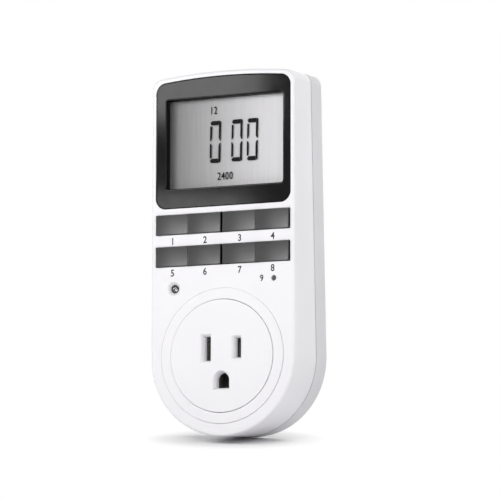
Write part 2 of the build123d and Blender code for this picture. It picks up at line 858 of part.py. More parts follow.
def relay_coil():
    reach = coil_flange_radius
    coil = along_x(coil_radius, coil_left, coil_right, relay_axis)
    for start in (coil_left, coil_right - coil_flange):
        coil += block((start, -reach, relay_axis - reach), (start + coil_flange, reach, relay_top))
    coil -= along_x(core_radius, coil_left - merge, coil_right + merge, relay_axis)
    return on_power_board(relay_place, coil)


def relay_armature():
    # The plate has an arm on one side, whose button closes on the fixed contact beside the coil.
    wide = yoke_half_width
    side, height = contact_button_place
    plate = block((armature_face, -wide, relay_floor + run_gap), (armature_back, wide, relay_top))
    low = (armature_face, 0, height - contact_button_radius)
    plate += block(low, (armature_back, side + contact_button_radius, height + contact_button_radius))
    button = along_x(contact_button_radius, armature_face - contact_button_height, armature_face, height)
    return on_power_board(relay_place, plate + Pos(0, side, 0) * button)


def relay_contacts():
    side, height = contact_button_place
    tip = armature_face - contact_button_height - contact_gap
    stud = tip - contact_button_height
    fixed = Pos(0, side, 0) * along_x(contact_button_radius, stud, tip, height)
    half = contact_button_radius
    low = (stud - contact_strip, side - half, relay_base_height)
    fixed += block(low, (stud, side + half, height + half))
    return on_power_board(relay_place, fixed)


def film_capacitor():
    length, width, height = film_size
    case = block((-length / 2, -width / 2, 0), (length / 2, width / 2, height))
    return on_power_board(film_place, chamfer(case.faces().sort_by(Axis.Z)[-1].edges(), film_edge_bevel))


def smoothing_capacitor():
    # A can lying along Z, with its rolled end drawn in.
    can = along_y(smoothing_radius, smoothing_length)
    can = chamfer(can.faces().sort_by(Axis.Y)[0].edges(), smoothing_bevel)
    return on_power_board(smoothing_place, Pos(0, 0, smoothing_radius + touch_gap) * can)


def surge_varistor():
    disc = along_y(varistor_radius, varistor_thickness)
    rims = disc.faces().sort_by(Axis.Y)[0].edges() + disc.faces().sort_by(Axis.Y)[-1].edges()
    return on_power_board(varistor_place, Pos(0, 0, varistor_radius + touch_gap) * chamfer(rims, varistor_bevel))


def rectifier_diodes():
    row = Part()
    reach = diode_length / 2 + diode_lead_length
    height = diode_radius + touch_gap
    half = diode_lead / 2
    for number in range(diode_count):
        level = (number - (diode_count - 1) / 2) * diode_pitch
        row += Pos(level, 0, height) * along_y(diode_radius, diode_length)
        row += block((level - half, -reach, height - half), (level + half, reach, height + half))
        for side in (-1, 1):
            end = side * (reach - half)
            row += block((level - half, end - half, 0), (level + half, end + half, height))
    return on_power_board(diode_place, row)


def backup_cell():
    can = round_bar((0, 0), cell_radius, 0, cell_height - cell_shoulder)
    can += round_bar((0, 0), cell_radius - cell_shoulder, 0, cell_height)
    return on_power_board(cell_place, can)


def ribbon_cable():
    # The cable leaves the power board, rises, and meets the control board's rear side.
    start = power_board_bottom + ribbon_place
    level = start + ribbon_rise
    end = body_depth - level * lean_sin / lean_cos - (board_depth + board_thickness) / lean_cos
    middle = (power_front + end) / 2
    path = FilletPolyline(
        (-power_front, start),
        (-middle, start),
        (-middle, level),
        (2 * touch_gap - end, level),
        radius=ribbon_bend,
    )
    strip = extrude(trace(path, ribbon_thickness), ribbon_width / 2, both=True)
    turn = Plane(origin=(ribbon_side, 0, 0), x_dir=(0, 1, 0), z_dir=(1, 0, 0))
    return turn * strip


def lead(points):
    # Straight lengths, with a short one across each corner and a lap where two meet.
    path = [Vector(*points[0])]
    for before, corner, after in zip(points, points[1:], points[2:]):
        corner = Vector(*corner)
        path += [corner + (Vector(*end) - corner).normalized() * lead_bend for end in (before, after)]
    path.append(Vector(*points[-1]))
    wire = Part()
    for start, end in zip(path, path[1:]):
        along = (end - start).normalized()
        low = 0 if start is path[0] else lead_lap
        high = 0 if end is path[-1] else lead_lap
        section = Plane(origin=start - along * low, z_dir=along) * RegularPolygon(lead_radius, lead_flat_count)
        wire += extrude(section, (end - start).length + low + high)
    return wire


def supply_leads():
    # From the neutral bridge, the line contact's tab and the line blade, each to the power board.
    landing = -power_front - 2 * lead_bend
    side = blade_spacing / 2 + blade_thickness / 2 + touch_gap
    bridge = contact_base_depth + lead_radius + 2 * fit_gap - body_depth
    tail = -retainer_back - touch_gap - lead_radius
    tab_edge = (blade_spacing / 2, tab_top + touch_gap, contact_thickness / 2 - contact_base_depth)
    tab = face.from_local_coords(tab_edge)
    row = power_board_bottom + lead_inset
    neutral_column, contact_column, line_column = lead_places
    routes = [
        [(-side, bridge, 0), (neutral_column, bridge, 0), (neutral_column, landing, row)],
        [(tab.X, tab.Y, tab.Z), (tab.X, tab.Y, tab.Z + lead_climb), (contact_column, tab.Y, row)],
        [(side, tail, 0), (line_column, tail, 0), (line_column, landing, row)],
    ]
    return Part() + [lead(route + [(route[-1][0], -power_front, row)]) for route in routes]


parts = {
    "front_housing": front_housing(),
    "rear_housing": rear_housing(),
    "display_bezel": display_bezel(),
    "lcd_cell": lcd_cell(),
    "lcd_holder": lcd_holder(),
    "zebra_strips": zebra_strips(),
    "control_board": control_board(),
    "control_board_screws": control_board_screws(),
    "control_chip": control_chip(),
    "crystal": crystal(),
    "key_mat": key_mat(),
    "indicator_lamp": indicator_lamp(),
    "reset_button": reset_button(),
    "reset_switch": reset_switch(),
    "outlet_face": outlet_face(),
    "contact_carrier": contact_carrier(),
    "neutral_contact": neutral_contact(),
    "line_contact": line_contact(),
    "ground_contact": ground_contact(),
    "neutral_blade": blade(-1),
    "line_blade": blade(1),
    "ground_pin": ground_pin(),
    "blade_retainer": blade_retainer(),
    "housing_screws": housing_screws(),
    "power_board": power_board(),
    "power_board_screws": power_board_screws(),
    "relay_case": relay_case(),
    "relay_base": relay_base(),
    "relay_yoke": relay_yoke(),
    "relay_coil": relay_coil(),
    "relay_armature": relay_armature(),
    "relay_contacts": relay_contacts(),
    "film_capacitor": film_capacitor(),
    "smoothing_capacitor": smoothing_capacitor(),
    "surge_varistor": surge_varistor(),
    "rectifier_diodes": rectifier_diodes(),
    "backup_cell": backup_cell(),
    "ribbon_cable": ribbon_cable(),
    "supply_leads": supply_leads(),
}
for row in range(key_rows):
    for column in range(key_columns):
        parts[f"key_{row * key_columns + column + 1}"] = key(row, column)

os.makedirs("parts", exist_ok=True)
for name, solid in parts.items():
    export_step(solid, f"parts/{name}.step")
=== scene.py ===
import json
import math
import bmesh
import bpy
import numpy as np
from mathutils import Matrix, Vector
from mathutils.geometry import delaunay_2d_cdt


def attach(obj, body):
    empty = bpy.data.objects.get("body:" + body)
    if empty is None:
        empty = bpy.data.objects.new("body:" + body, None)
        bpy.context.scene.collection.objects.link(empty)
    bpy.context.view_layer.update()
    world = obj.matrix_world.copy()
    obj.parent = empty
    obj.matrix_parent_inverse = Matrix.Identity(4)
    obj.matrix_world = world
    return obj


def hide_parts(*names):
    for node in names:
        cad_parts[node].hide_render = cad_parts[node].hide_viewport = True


# Plug-in timer. Sizes are in millimetres and degrees here, and the meshes in metres.
# X is to the right, Y into the wall and Z up; the wall face is Y = 0.
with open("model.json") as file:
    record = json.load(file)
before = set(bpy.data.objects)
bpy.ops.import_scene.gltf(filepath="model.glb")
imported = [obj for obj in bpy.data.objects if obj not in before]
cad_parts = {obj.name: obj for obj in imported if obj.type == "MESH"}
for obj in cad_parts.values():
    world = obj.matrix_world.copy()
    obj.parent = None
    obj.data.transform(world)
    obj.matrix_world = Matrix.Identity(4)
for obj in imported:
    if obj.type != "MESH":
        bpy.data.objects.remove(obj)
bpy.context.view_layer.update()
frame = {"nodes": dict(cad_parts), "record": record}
mm = 0.001
tiny = 1e-5  # points closer than this many millimetres count as one

timer = {
    "half": 30.0,  # half of the body's width, and the round end's radius
    "roundDrop": 2.9,  # the round end's centre is this far below the blades
    "depth": 28.8,  # wall face to front face, level with the blades
    "seam": 10.0,  # wall face to the line between the shells
    "lean": 2.6,  # the front face leans back from upright
    "arch": 240.0,  # radius of the shallow arch on top
    "archDrop": 134.9,  # the arch's centre below the blades
    "corner": 4.5,
    "wall": 1.6,
    "faceWall": 2.2,
    "keyColumns": (-20.9, -7.25, 7.25, 20.9),
    "keyRows": (47.45, 35.3),
    "lampPlace": (-20.3, 23.1),
    "resetPlace": (21.3, 25.3),
    "bladeSpacing": 12.7,
    "groundDrop": 11.9,  # middle of the ground pin and its hole, below the blades
}
leanSin, leanCos = math.sin(math.radians(timer["lean"])), math.cos(math.radians(timer["lean"]))


# Shapes

def outline(arcs):
    # Arcs of circles one after another, anticlockwise: a point is centre + radius * direction,
    # and its direction is kept as the way out. Straight runs are what lies between two arcs.
    spots, ways = [], []
    for x, v, radius, start, end, count in arcs:
        turn = np.radians(np.linspace(start, end, count))
        way = np.stack([np.cos(turn), np.sin(turn)], -1)
        spots.append(np.array([x, v]) + radius * way)
        ways.append(way)
    spots, ways = np.concatenate(spots), np.concatenate(ways)
    apart = np.linalg.norm(spots - np.roll(spots, 1, 0), axis=1) > tiny
    return spots[apart], ways[apart]


def circle(x, v, radius, count=64):
    # A full circle: centre + radius * direction, with the way out along the direction.
    return outline([(x, v, radius, 0, 360 - 360 / count, count)])


def roundedBox(x, v, halfWide, halfTall, corner, count=6):
    # A rectangle whose four corners are quarter circles.
    w, t = halfWide - corner, halfTall - corner
    return outline([(x + w, v - t, corner, -90, 0, count), (x + w, v + t, corner, 0, 90, count),
                    (x - w, v + t, corner, 90, 180, count),
                    (x - w, v - t, corner, 180, 270, count)])


def squareBox(x, v, halfWide, halfTall):
    # A rectangle with sharp corners, whose ways out are mitred.
    ways = np.array([(1, -1), (1, 1), (-1, 1), (-1, -1)], float)
    return np.array([x, v]) + ways * (halfWide, halfTall), ways


def moved(shape, out):
    # The outline pushed out along its ways by this much; a minus sign draws it in.
    return shape[0] + out * shape[1]


def rounding(radius, steps):
    # A quarter circle from the wall to the top: how far in, and how far below the top.
    turn = np.linspace(0, math.pi / 2, steps)
    return list(zip(radius * (1 - np.cos(turn)), radius * (1 - np.sin(turn))))


def atDepth(flat, y):
    # Points of a plane parallel to the wall: x and z are the outline's own.
    return np.stack([flat[:, 0], np.full(len(flat), float(y)), flat[:, 1]], -1)


def behindFront(flat, depth):
    # Upright outline points, this far behind the leaning front plane, where y is the height times
    # the tangent of the lean, less the body's depth.
    y = -timer["depth"] + flat[:, 1] * leanSin / leanCos + depth
    return np.stack([flat[:, 0], y, flat[:, 1]], -1)


def onFace(flat, out):
    # x, the height up the leaning face and the way out of it, turned by the lean to x, y and z.
    out = np.broadcast_to(out, len(flat))
    return np.stack([flat[:, 0], -timer["depth"] + flat[:, 1] * leanSin - out * leanCos,
                     flat[:, 1] * leanCos + out * leanSin], -1)


def upFace(points):
    # The other way round: x, and y and z turned back to the height up the leaning face.
    up = (points[:, 1] + timer["depth"]) * leanSin + points[:, 2] * leanCos
    return np.stack([points[:, 0], up], -1)


def carried(shape, steps, place=onFace):
    # One row of points for each (out, height): the outline pushed out along its ways, then placed.
    return [place(moved(shape, out), height) for out, height in steps]


def turned(unit, profile, place=onFace):
    # The same for a circle of radius 1 and pairs of (radius, height).
    return carried(unit, [(radius - 1, height) for radius, height in profile], place)


def skin(rows):
    # Rows of points, each a closed loop:
    # face (i, j) has the corners (i, j), (i, j+1), (i+1, j+1), (i+1, j).
    grid = np.array(rows)
    count, around = grid.shape[:2]
    i, j = np.meshgrid(np.arange(count - 1), np.arange(around), indexing="ij")
    k = (j + 1) % around
    low, high = i * around, (i + 1) * around
    quads = np.stack([low + j, low + k, high + k, high + j], -1)
    return grid.reshape(-1, 3), quads.reshape(-1, 4)


def fill(loops, place):
    # A flat face inside the first loop and outside the others: a triangulation held to their
    # edges, of which a triangle is kept where a line to the right of its middle crosses an odd
    # number of edges.
    sizes = np.array([len(loop) for loop in loops])
    starts = np.repeat(np.cumsum(sizes) - sizes, sizes)
    local = np.concatenate([np.arange(n) for n in sizes])
    edges = np.stack([starts + local, starts + (local + 1) % np.repeat(sizes, sizes)], -1)
    points = np.concatenate(loops)
    found = delaunay_2d_cdt(points.tolist(), edges.tolist(), [], 0, tiny)
    flat, triangles = np.array(found[0]), np.array(found[2])
    middle = flat[triangles].mean(1)[:, None]
    a, b = points[edges[:, 0]][None], points[edges[:, 1]][None]
    spans = (a[..., 1] > middle[..., 1]) != (b[..., 1] > middle[..., 1])
    rise = np.where(b[..., 1] == a[..., 1], 1, b[..., 1] - a[..., 1])
    cross = a[..., 0] + (middle[..., 1] - a[..., 1]) * (b[..., 0] - a[..., 0]) / rise
    return place(flat), triangles[(spans & (cross > middle[..., 0])).sum(1) % 2 == 1]


def lid(loops, height, place=onFace):
    # A flat face at this height, inside the first row of points and outside the others.
    flatten = upFace if place is onFace else (lambda points: points[:, ::2])
    return fill([flatten(loop) for loop in loops], lambda flat: place(flat, height))


def pierced(walls, holes, rims, heights, place=onFace):
    # Walls and holes skinned, and a flat face inside each rim that is open at every hole: the first
    # face meets the first rows of the holes, and the second one their last rows.
    patches = [skin(rows) for rows in walls + holes]
    for end, rim, height in zip((0, -1), rims, heights):
        patches.append(lid([rim] + [rows[end] for rows in holes], height, place))
    return patches


weld = {
    "merge": 3e-6, "crumb": 1e-6,  # metres: points and edges that close up
    "crease": 32,  # faces that meet at more degrees than this keep a sharp edge
}


def makePiece(name, patches, bodyName, material, replaced=()):
    # Patches of points and faces become one mesh: doubles are merged and faces turned outward.
    starts = np.cumsum([0] + [len(points) for points, faces in patches])
    faces = [face for start, (points, quads) in zip(starts, patches)
             for face in (quads + start).tolist()]
    mesh = bpy.data.meshes.new(name)
    mesh.from_pydata(np.concatenate([points for points, quads in patches]) * mm, [], faces)
    work = bmesh.new()
    work.from_mesh(mesh)
    bmesh.ops.remove_doubles(work, verts=work.verts, dist=weld["merge"])
    bmesh.ops.dissolve_degenerate(work, edges=work.edges, dist=weld["crumb"])
    bmesh.ops.recalc_face_normals(work, faces=work.faces)
    openEdges = sum(not edge.is_manifold for edge in work.edges)
    work.to_mesh(mesh)
    work.free()
    mesh.shade_smooth()
    mesh.set_sharp_from_angle(angle=math.radians(weld["crease"]))
    piece = bpy.data.objects.new(name, mesh)
    bpy.context.scene.collection.objects.link(piece)
    mesh.materials.append(material)
    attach(piece, bodyName)
    if replaced:
        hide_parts(*replaced)
    print("piece", name, len(mesh.polygons), "faces, open edges", openEdges)


def turnedUp(centre, profile, place, count=64):
    # A profile of (radius, height) pairs carried round a circle: centre + radius * direction.
    ways = circle(0, 0, 1, count)[1]
    return skin([place(np.array(centre) + radius * ways, height) for radius, height in profile])


def textFlat(words, size, place, thickness, narrow, bold):
    # Blender's own letterforms made a mesh first, then carried to their place: x, height, out.
    # Narrow words get some of the lost width back as space between their signs.
    curve = bpy.data.curves.new("words", "FONT")
    curve.body, curve.size, curve.align_x, curve.offset = words, size, "CENTER", bold
    curve.resolution_u, curve.space_character = 4, 1.0 + (1 - narrow) * 0.5
    curve.extrude = thickness / 2
    holder = bpy.data.objects.new("words", curve)
    made = bpy.data.meshes.new_from_object(holder)
    points = np.zeros(len(made.vertices) * 3)
    made.vertices.foreach_get("co", points)
    points = points.reshape(-1, 3)
    made.calc_loop_triangles()
    faces = np.zeros(len(made.loop_triangles) * 3, int)
    made.loop_triangles.foreach_get("vertices", faces)
    flat = np.stack([points[:, 0] * narrow + place[0], points[:, 1] + place[1]], -1)
    bpy.data.objects.remove(holder)
    bpy.data.curves.remove(curve)
    bpy.data.meshes.remove(made)
    return onFace(flat, points[:, 2] + place[2]), faces.reshape(-1, 3)


# Materials

def linear(hexText):
    # sRGB hex to linear light: a straight part near black, and a power of 2.4 above it.
    parts = np.array([int(hexText[i:i + 2], 16) for i in (1, 3, 5)]) / 255
    parts = np.where(parts <= 0.04045, parts / 12.92, ((parts + 0.055) / 1.055) ** 2.4)
    return (*parts.tolist(), 1.0)


def addNode(tree, kind, settings=None, links=None):
    # One node: settings are a ramp's stops, inputs or properties, and links are input to the
    # socket that feeds it.
    node = tree.nodes.new(kind)
    for key, value in (settings or {}).items():
        if key == "stops":
            for stop, (position, tint) in zip(node.color_ramp.elements, value):
                stop.position, stop.color = position, tint
        elif isinstance(key, int) or key in node.inputs:
            node.inputs[key].default_value = value
        else:
            setattr(node, key, value)
    for key, socket in (links or {}).items():
        tree.links.new(socket, node.inputs[key])
    return node


def startMaterial(name):
    # A material with no nodes yet, and its tree.
    material = bpy.data.materials.new(name)
    material.use_nodes = True
    material.node_tree.nodes.clear()
    return material, material.node_tree


def seenRays(tree):
    # 1 for what the camera sees, straight, in a gloss or through glass, and 0 for light on its way.
    path = addNode(tree, "ShaderNodeLightPath")
    seen = path.outputs["Is Camera Ray"]
    for kind in ("Is Glossy Ray", "Is Transmission Ray"):
        either = addNode(tree, "ShaderNodeMath", {"operation": "MAXIMUM"},
                         {0: seen, 1: path.outputs[kind]})
        seen = either.outputs["Value"]
    return seen


texture = {
    "cloud": {"Detail": 3.0, "Roughness": 0.55},  # noise for the drift of a tint
    "grain": {"Detail": 2.0, "Roughness": 0.55},  # and for roughness and relief
    "tintSpan": (0.35, 0.65), "roughSpan": (0.3, 0.7),  # what a noise goes through, end to end
}


def endMaterial(tree, drift, tints, fine, rough, relief, settings, span=texture["tintSpan"]):
    # The end that the finishes share: the drift goes from one tint to the other over its span, and
    # the fine pattern gives the roughness and the height of the relief, in millimetres.
    stops = zip(span, (linear(tint) for tint in tints))
    tinted = addNode(tree, "ShaderNodeValToRGB", {"stops": stops}, {"Fac": drift})
    ends = {"From Min": texture["roughSpan"][0], "From Max": texture["roughSpan"][1],
            "To Min": rough[0], "To Max": rough[1]}
    dulled = addNode(tree, "ShaderNodeMapRange", ends, {"Value": fine})
    steps = {"Strength": 1.0, "Distance": relief * mm}
    raised = addNode(tree, "ShaderNodeBump", steps, {"Height": fine})
    shader = addNode(tree, "ShaderNodeBsdfPrincipled", settings, {
        "Base Color": tinted.outputs["Color"], "Roughness": dulled.outputs["Result"],
        "Normal": raised.outputs["Normal"]})
    addNode(tree, "ShaderNodeOutputMaterial", links={"Surface": shader.outputs["BSDF"]})
    return shader, dulled.outputs["Result"]


def moulded(name, tint, tintTwo, cloud, rough, grain, depth, stretch=(1, 1, 1), **settings):
    # A moulded or drawn surface: the tint drifts over cloud millimetres, and roughness and relief
    # follow the grain.
    material, tree = startMaterial(name)
    where = addNode(tree, "ShaderNodeTexCoord").outputs["Object"]
    placed = addNode(tree, "ShaderNodeMapping", {"Scale": stretch}, {"Vector": where})
    patterns = [addNode(tree, "ShaderNodeTexNoise", {**texture[kind], "Scale": 1000 / size},
                        {"Vector": placed.outputs["Vector"]}).outputs["Fac"]
                for kind, size in (("cloud", cloud), ("grain", grain))]
    endMaterial(tree, patterns[0], (tint, tintTwo), patterns[1], rough, depth, settings)
    return material


# Camera

shot = {"azimuth": 25.808, "elevation": -7.145, "roll": 0.109, "distance": 1130.17,
        "aim": (11.555, 36.209), "lens": 218.167, "sensor": 36.0, "clip": (0.05, 50)}
azimuth, elevation, roll = (math.radians(shot[key]) for key in ("azimuth", "elevation", "roll"))
# Worked out on the leaning face's own axes, which toBody turns to the body's.
toBody = np.array([(1, 0, 0), (0, leanCos, leanSin), (0, -leanSin, leanCos)])
away = np.array([math.sin(azimuth) * math.cos(elevation),
                 -math.cos(azimuth) * math.cos(elevation), math.sin(elevation)])
level = np.array([math.cos(azimuth), math.sin(azimuth), 0])
upward = np.cross(away, level)
rightSide = math.cos(roll) * level + math.sin(roll) * upward
upSide = math.cos(roll) * upward - math.sin(roll) * level
eye = toBody @ (np.array([shot["aim"][0], 0, shot["aim"][1]]) + away * shot["distance"])
eye[1] -= timer["depth"]
cameraData = bpy.data.cameras.new("camera")
cameraData.sensor_width, cameraData.lens = shot["sensor"], shot["lens"]
cameraData.clip_start, cameraData.clip_end = shot["clip"]
camera = bpy.data.objects.new("camera", cameraData)
bpy.context.scene.collection.objects.link(camera)
axes = np.stack([toBody @ rightSide, toBody @ upSide, toBody @ away], -1)
camera.matrix_world = Matrix.Translation(Vector(eye * mm)) @ Matrix(axes.tolist()).to_4x4()
bpy.context.scene.camera = camera
bpy.context.scene.view_settings.view_transform = "Standard"
print("camera at", (eye * mm).round(4).tolist())


# Stage

stage = {
    "graze": 3.0,  # how far the floor tips toward the camera, in degrees
    "reach": 4000,
    "grid": 9,
    "floorTint": "#E6E6E8",
    "floorSeen": 0.97,
    "fade": (16, 34),  # the floor's own shade goes over to white in this band
    "shadowShift": (-3, -8, 0),  # from where the timer touches to the middle of that band
    "surround": 0.12,
}
softboxes = [  # name, place, what it faces, width and height, watts
    ("softboxLeft", (-350, -380, 240), (0, -20, 60), (140, 170), 1.0),
    ("softboxFront", (130, -560, 170), (0, -20, 50), (160, 160), 0.91),
    ("panelUpper", (-260, -500, 230), (0, -20, 95), (84, 60), 0.22),
    ("panelLower", (-252, -500, 130), (0, -20, 60), (60, 54), 0.11),
    ("softboxRight", (450, -240, 130), (0, -20, 40), (300, 300), 0.52),
    ("softboxSide", (500, 60, 120), (0, -20, 40), (400, 400), 0.56),
    ("softboxBack", (220, 300, 620), (0, -15, -20), (420, 300), 1.6),
    ("softboxFar", (-90, 620, 130), (0, -10, 40), (400, 400), 1.1),
]


def floorNormal():
    # The floor holds the camera's sideways line, so it looks level, and the camera sees it at a
    # low angle.
    graze = math.radians(stage["graze"])
    return toBody @ (upSide * math.cos(graze) + away * math.sin(graze))


def makeFloor():
    # A square grid, joined row by row, whose z is the plane's that touches the round end at the
    # wall face.
    normal, steps = floorNormal(), stage["grid"]
    flatWay = np.array([normal[0], 0, normal[2]]) / math.hypot(normal[0], normal[2])
    touch = np.array([0, 0, -timer["roundDrop"]]) - timer["half"] * flatWay
    spread, cells = np.linspace(-stage["reach"], stage["reach"], steps), np.arange(steps - 1)
    x, y = (a.ravel() for a in np.meshgrid(spread, spread))
    z = touch[2] - ((x - touch[0]) * normal[0] + (y - touch[1]) * normal[1]) / normal[2]
    i, j = (a.ravel() for a in np.meshgrid(cells, cells, indexing="ij"))
    near, far = i * steps + j, (i + 1) * steps + j
    quads = np.stack([near, near + 1, far + 1, far], -1)
    mesh = bpy.data.meshes.new("floor")
    mesh.from_pydata(np.stack([x, y, z], -1) * mm, [], quads.tolist())
    mesh.materials.append(floorPaper(touch))
    floor = bpy.data.objects.new("floor", mesh)
    bpy.context.scene.collection.objects.link(floor)


def floorPaper(touch):
    # Matte paper: the camera sees it paler than it lights the timer, and plain white further off.
    material, tree = startMaterial("matte-paper")
    seen = seenRays(tree)
    where = addNode(tree, "ShaderNodeTexCoord").outputs["Object"]
    middle = (touch + np.array(stage["shadowShift"])) * mm
    apart = addNode(tree, "ShaderNodeVectorMath", {"operation": "DISTANCE", 1: middle}, {0: where})
    near, far = (value * mm for value in stage["fade"])
    faded = addNode(tree, "ShaderNodeMapRange", {"From Min": near, "From Max": far},
                    {"Value": apart.outputs["Value"]})
    paper, pale = linear(stage["floorTint"]), (stage["floorSeen"],) * 3 + (1,)
    tints = {"data_type": "RGBA", 6: paper, 7: pale}
    tint = addNode(tree, "ShaderNodeMix", tints, {0: seen}).outputs[2]
    matte = addNode(tree, "ShaderNodeBsdfDiffuse", links={"Color": tint})
    white = addNode(tree, "ShaderNodeEmission", {"Color": (1, 1, 1, 1), "Strength": 1.0})
    factor = addNode(tree, "ShaderNodeMath", {"operation": "MULTIPLY"},
                     {0: seen, 1: faded.outputs["Result"]})
    mixed = addNode(tree, "ShaderNodeMixShader", links={
        0: factor.outputs["Value"], 1: matte.outputs["BSDF"], 2: white.outputs["Emission"]})
    addNode(tree, "ShaderNodeOutputMaterial", links={"Surface": mixed.outputs["Shader"]})
    return material


def makeWorld():
    # A white surround that the camera sees in full, and that lights the timer only a little.
    world = bpy.data.worlds.new("studio")
    world.use_nodes = True
    tree = world.node_tree
    tree.nodes.clear()
    strength = addNode(tree, "ShaderNodeMapRange", {"To Min": stage["surround"]},
                       {"Value": seenRays(tree)})
    light = addNode(tree, "ShaderNodeBackground", {"Color": (1, 1, 1, 1)},
                    {"Strength": strength.outputs["Result"]})
    addNode(tree, "ShaderNodeOutputWorld", links={"Surface": light.outputs["Background"]})
    bpy.context.scene.world = world


def makeSoftbox(name, place, aim, size, watts):
    # A soft rectangle of light, turned to face its aim.
    data = bpy.data.lights.new(name, "AREA")
    data.shape, data.size, data.size_y = "RECTANGLE", size[0] * mm, size[1] * mm
    data.energy = watts
    holder = bpy.data.objects.new(name, data)
    bpy.context.scene.collection.objects.link(holder)
    turn = (Vector(aim) - Vector(place)).to_track_quat("-Z", "Y").to_matrix().to_4x4()
    holder.matrix_world = Matrix.Translation(Vector(place) * mm) @ turn


makeFloor()
makeWorld()
for row in softboxes:
    makeSoftbox(*row)
print("stage done")


# Finishes

# Clean white plastic with a soft sheen and a fine even texture.
whiteShell = moulded("abs-moulded-satin", "#F1EFF2", "#F4F3F5", 60, (0.40, 0.50), 0.6, 0.004,
                     IOR=1.54)

# The same plastic, greyer and a little duller, so that the rear shell comes out darker than the
# front.
rearWhite = moulded("abs-moulded-satin-rear", "#DBDADD", "#E0DFE2", 60, (0.42, 0.54), 0.6, 0.005,
                    IOR=1.54)

# Dark grey caps whose broad sheen slides from dark to pale across each hollow.
keyGrey = moulded("abs-satin-grey", "#1D1D1E", "#232324", 14, (0.31, 0.38), 0.5, 0.006, IOR=1.54,
                  **{"Specular IOR Level": 0.46})

# Dull near-black strokes without a glint.
segments = moulded("lcd-ink", "#141415", "#19191A", 6, (0.45, 0.55), 0.5, 0.001, IOR=1.5,
                   **{"Specular IOR Level": 0.05})

# Soft black print with a faint unevenness in its sheen.
printInk = moulded("pad-printed-ink", "#19191B", "#212123", 4, (0.45, 0.6), 0.3, 0.002, IOR=1.5)

# Plain mid-dark plunger, duller than the keys.
buttonGrey = moulded("abs-button-grey", "#38383A", "#424244", 3, (0.4, 0.5), 0.4, 0.004, IOR=1.54)

# Pale warm metal with a bright edge and faint lines along the drawn length.
nickel = moulded("nickel-plated-brass", "#D3D2CE", "#CBCAC6", 12, (0.22, 0.28), 0.7, 0.001,
                 (1, 0.15, 1), Metallic=1.0)

# Smoky clear dome: dark where one looks into it and pale where it faces a lamp.
clearEpoxy = moulded("cast-tinted-epoxy", "#8E8E90", "#9A9A9C", 5, (0.14, 0.20), 1.0, 0.001,
                     IOR=1.53, **{"Transmission Weight": 1.0, "Specular IOR Level": 0.3})

# An almost unseen etched pane that lays a faint blurred reflection over the display.
coverGlass = moulded("cell-cover-glass-etched", "#101010", "#161616", 20, (0.22, 0.30), 5.0, 0.001,
                     IOR=1.5, Alpha=0.05, **{"Specular IOR Level": 0.15})

acrylic = {
    "tints": ("#090909", "#0C0C0D"), "cloud": 30, "ripple": 4.0, "relief": 0.002,
    "front": (0.07, 0.10), "wall": 0.5,  # roughness
    "band": (0.5, 0.3),  # below the front: where the walls' roughness ends and the front's begins
    "steady": {"IOR": 1.49, "Specular IOR Level": 0.12},
}


def glossyPanel():
    # Black acrylic: a deep gloss with soft lamps in it on the front, and dull walls down to the
    # display. How far out of the face a point is comes from its place along the face's way out.
    material, tree = startMaterial("acrylic-gloss-black")
    where = addNode(tree, "ShaderNodeTexCoord").outputs["Object"]
    drift, ripple = (addNode(tree, "ShaderNodeTexNoise", {**texture[kind], "Scale": 1000 / size},
                             {"Vector": where}).outputs["Fac"]
                     for kind, size in (("cloud", acrylic["cloud"]), ("grain", acrylic["ripple"])))
    shader, gloss = endMaterial(tree, drift, acrylic["tints"], ripple, acrylic["front"],
                                acrylic["relief"], acrylic["steady"])
    wayOut = {"operation": "DOT_PRODUCT", 1: (0, -leanCos, leanSin)}
    out = addNode(tree, "ShaderNodeVectorMath", wayOut, {0: where}).outputs["Value"]
    start, end = (timer["depth"] * leanCos * mm - below * mm for below in acrylic["band"])
    onFront = addNode(tree, "ShaderNodeMapRange", {"From Min": start, "From Max": end},
                      {"Value": out}).outputs["Result"]
    dull = {"data_type": "FLOAT", 2: acrylic["wall"]}
    rough = addNode(tree, "ShaderNodeMix", dull, {0: onFront, 3: gloss}).outputs[0]
    tree.links.new(rough, shader.inputs["Roughness"])
    return material


# Painted light on the display film: the first tint is a dark painted shade on its left, going over
# to the near white second tint on its right.
film = {
    "tints": ("#6A6A6B", "#FCFAFC"), "streak": 1.4, "stretch": (1, 1, 0.02),
    "span": (-0.020, 0.030), "sway": 0.008,  # metres from tint to tint, and how far streaks shift it
    "rough": (0.35, 0.5), "relief": 0.002, "steady": {"IOR": 1.5},
}


def polariser():
    # Reflective film behind the display: silver with faint upright streaks and painted shade on its
    # left.
    material, tree = startMaterial("polariser-film-painted-shade")
    where = addNode(tree, "ShaderNodeTexCoord").outputs["Object"]
    across = addNode(tree, "ShaderNodeSeparateXYZ", links={"Vector": where}).outputs["X"]
    placed = addNode(tree, "ShaderNodeMapping", {"Scale": film["stretch"]}, {"Vector": where})
    lumps = {**texture["cloud"], "Scale": 1000 / film["streak"]}
    streak = addNode(tree, "ShaderNodeTexNoise", lumps,
                     {"Vector": placed.outputs["Vector"]}).outputs["Fac"]
    # Where the painted shade lies: x across the film, wavered by the streaks.
    sway = {"operation": "MULTIPLY_ADD", 1: film["sway"]}
    paintedShadeAt = addNode(tree, "ShaderNodeMath", sway, {0: streak, 2: across}).outputs["Value"]
    low, high = film["span"]
    share = addNode(tree, "ShaderNodeMapRange", {"From Min": low, "From Max": high},
                    {"Value": paintedShadeAt}).outputs["Result"]
    endMaterial(tree, share, film["tints"], streak, film["rough"], film["relief"], film["steady"],
                (0.0, 1.0))
    return material


panelBlack, reflector = glossyPanel(), polariser()

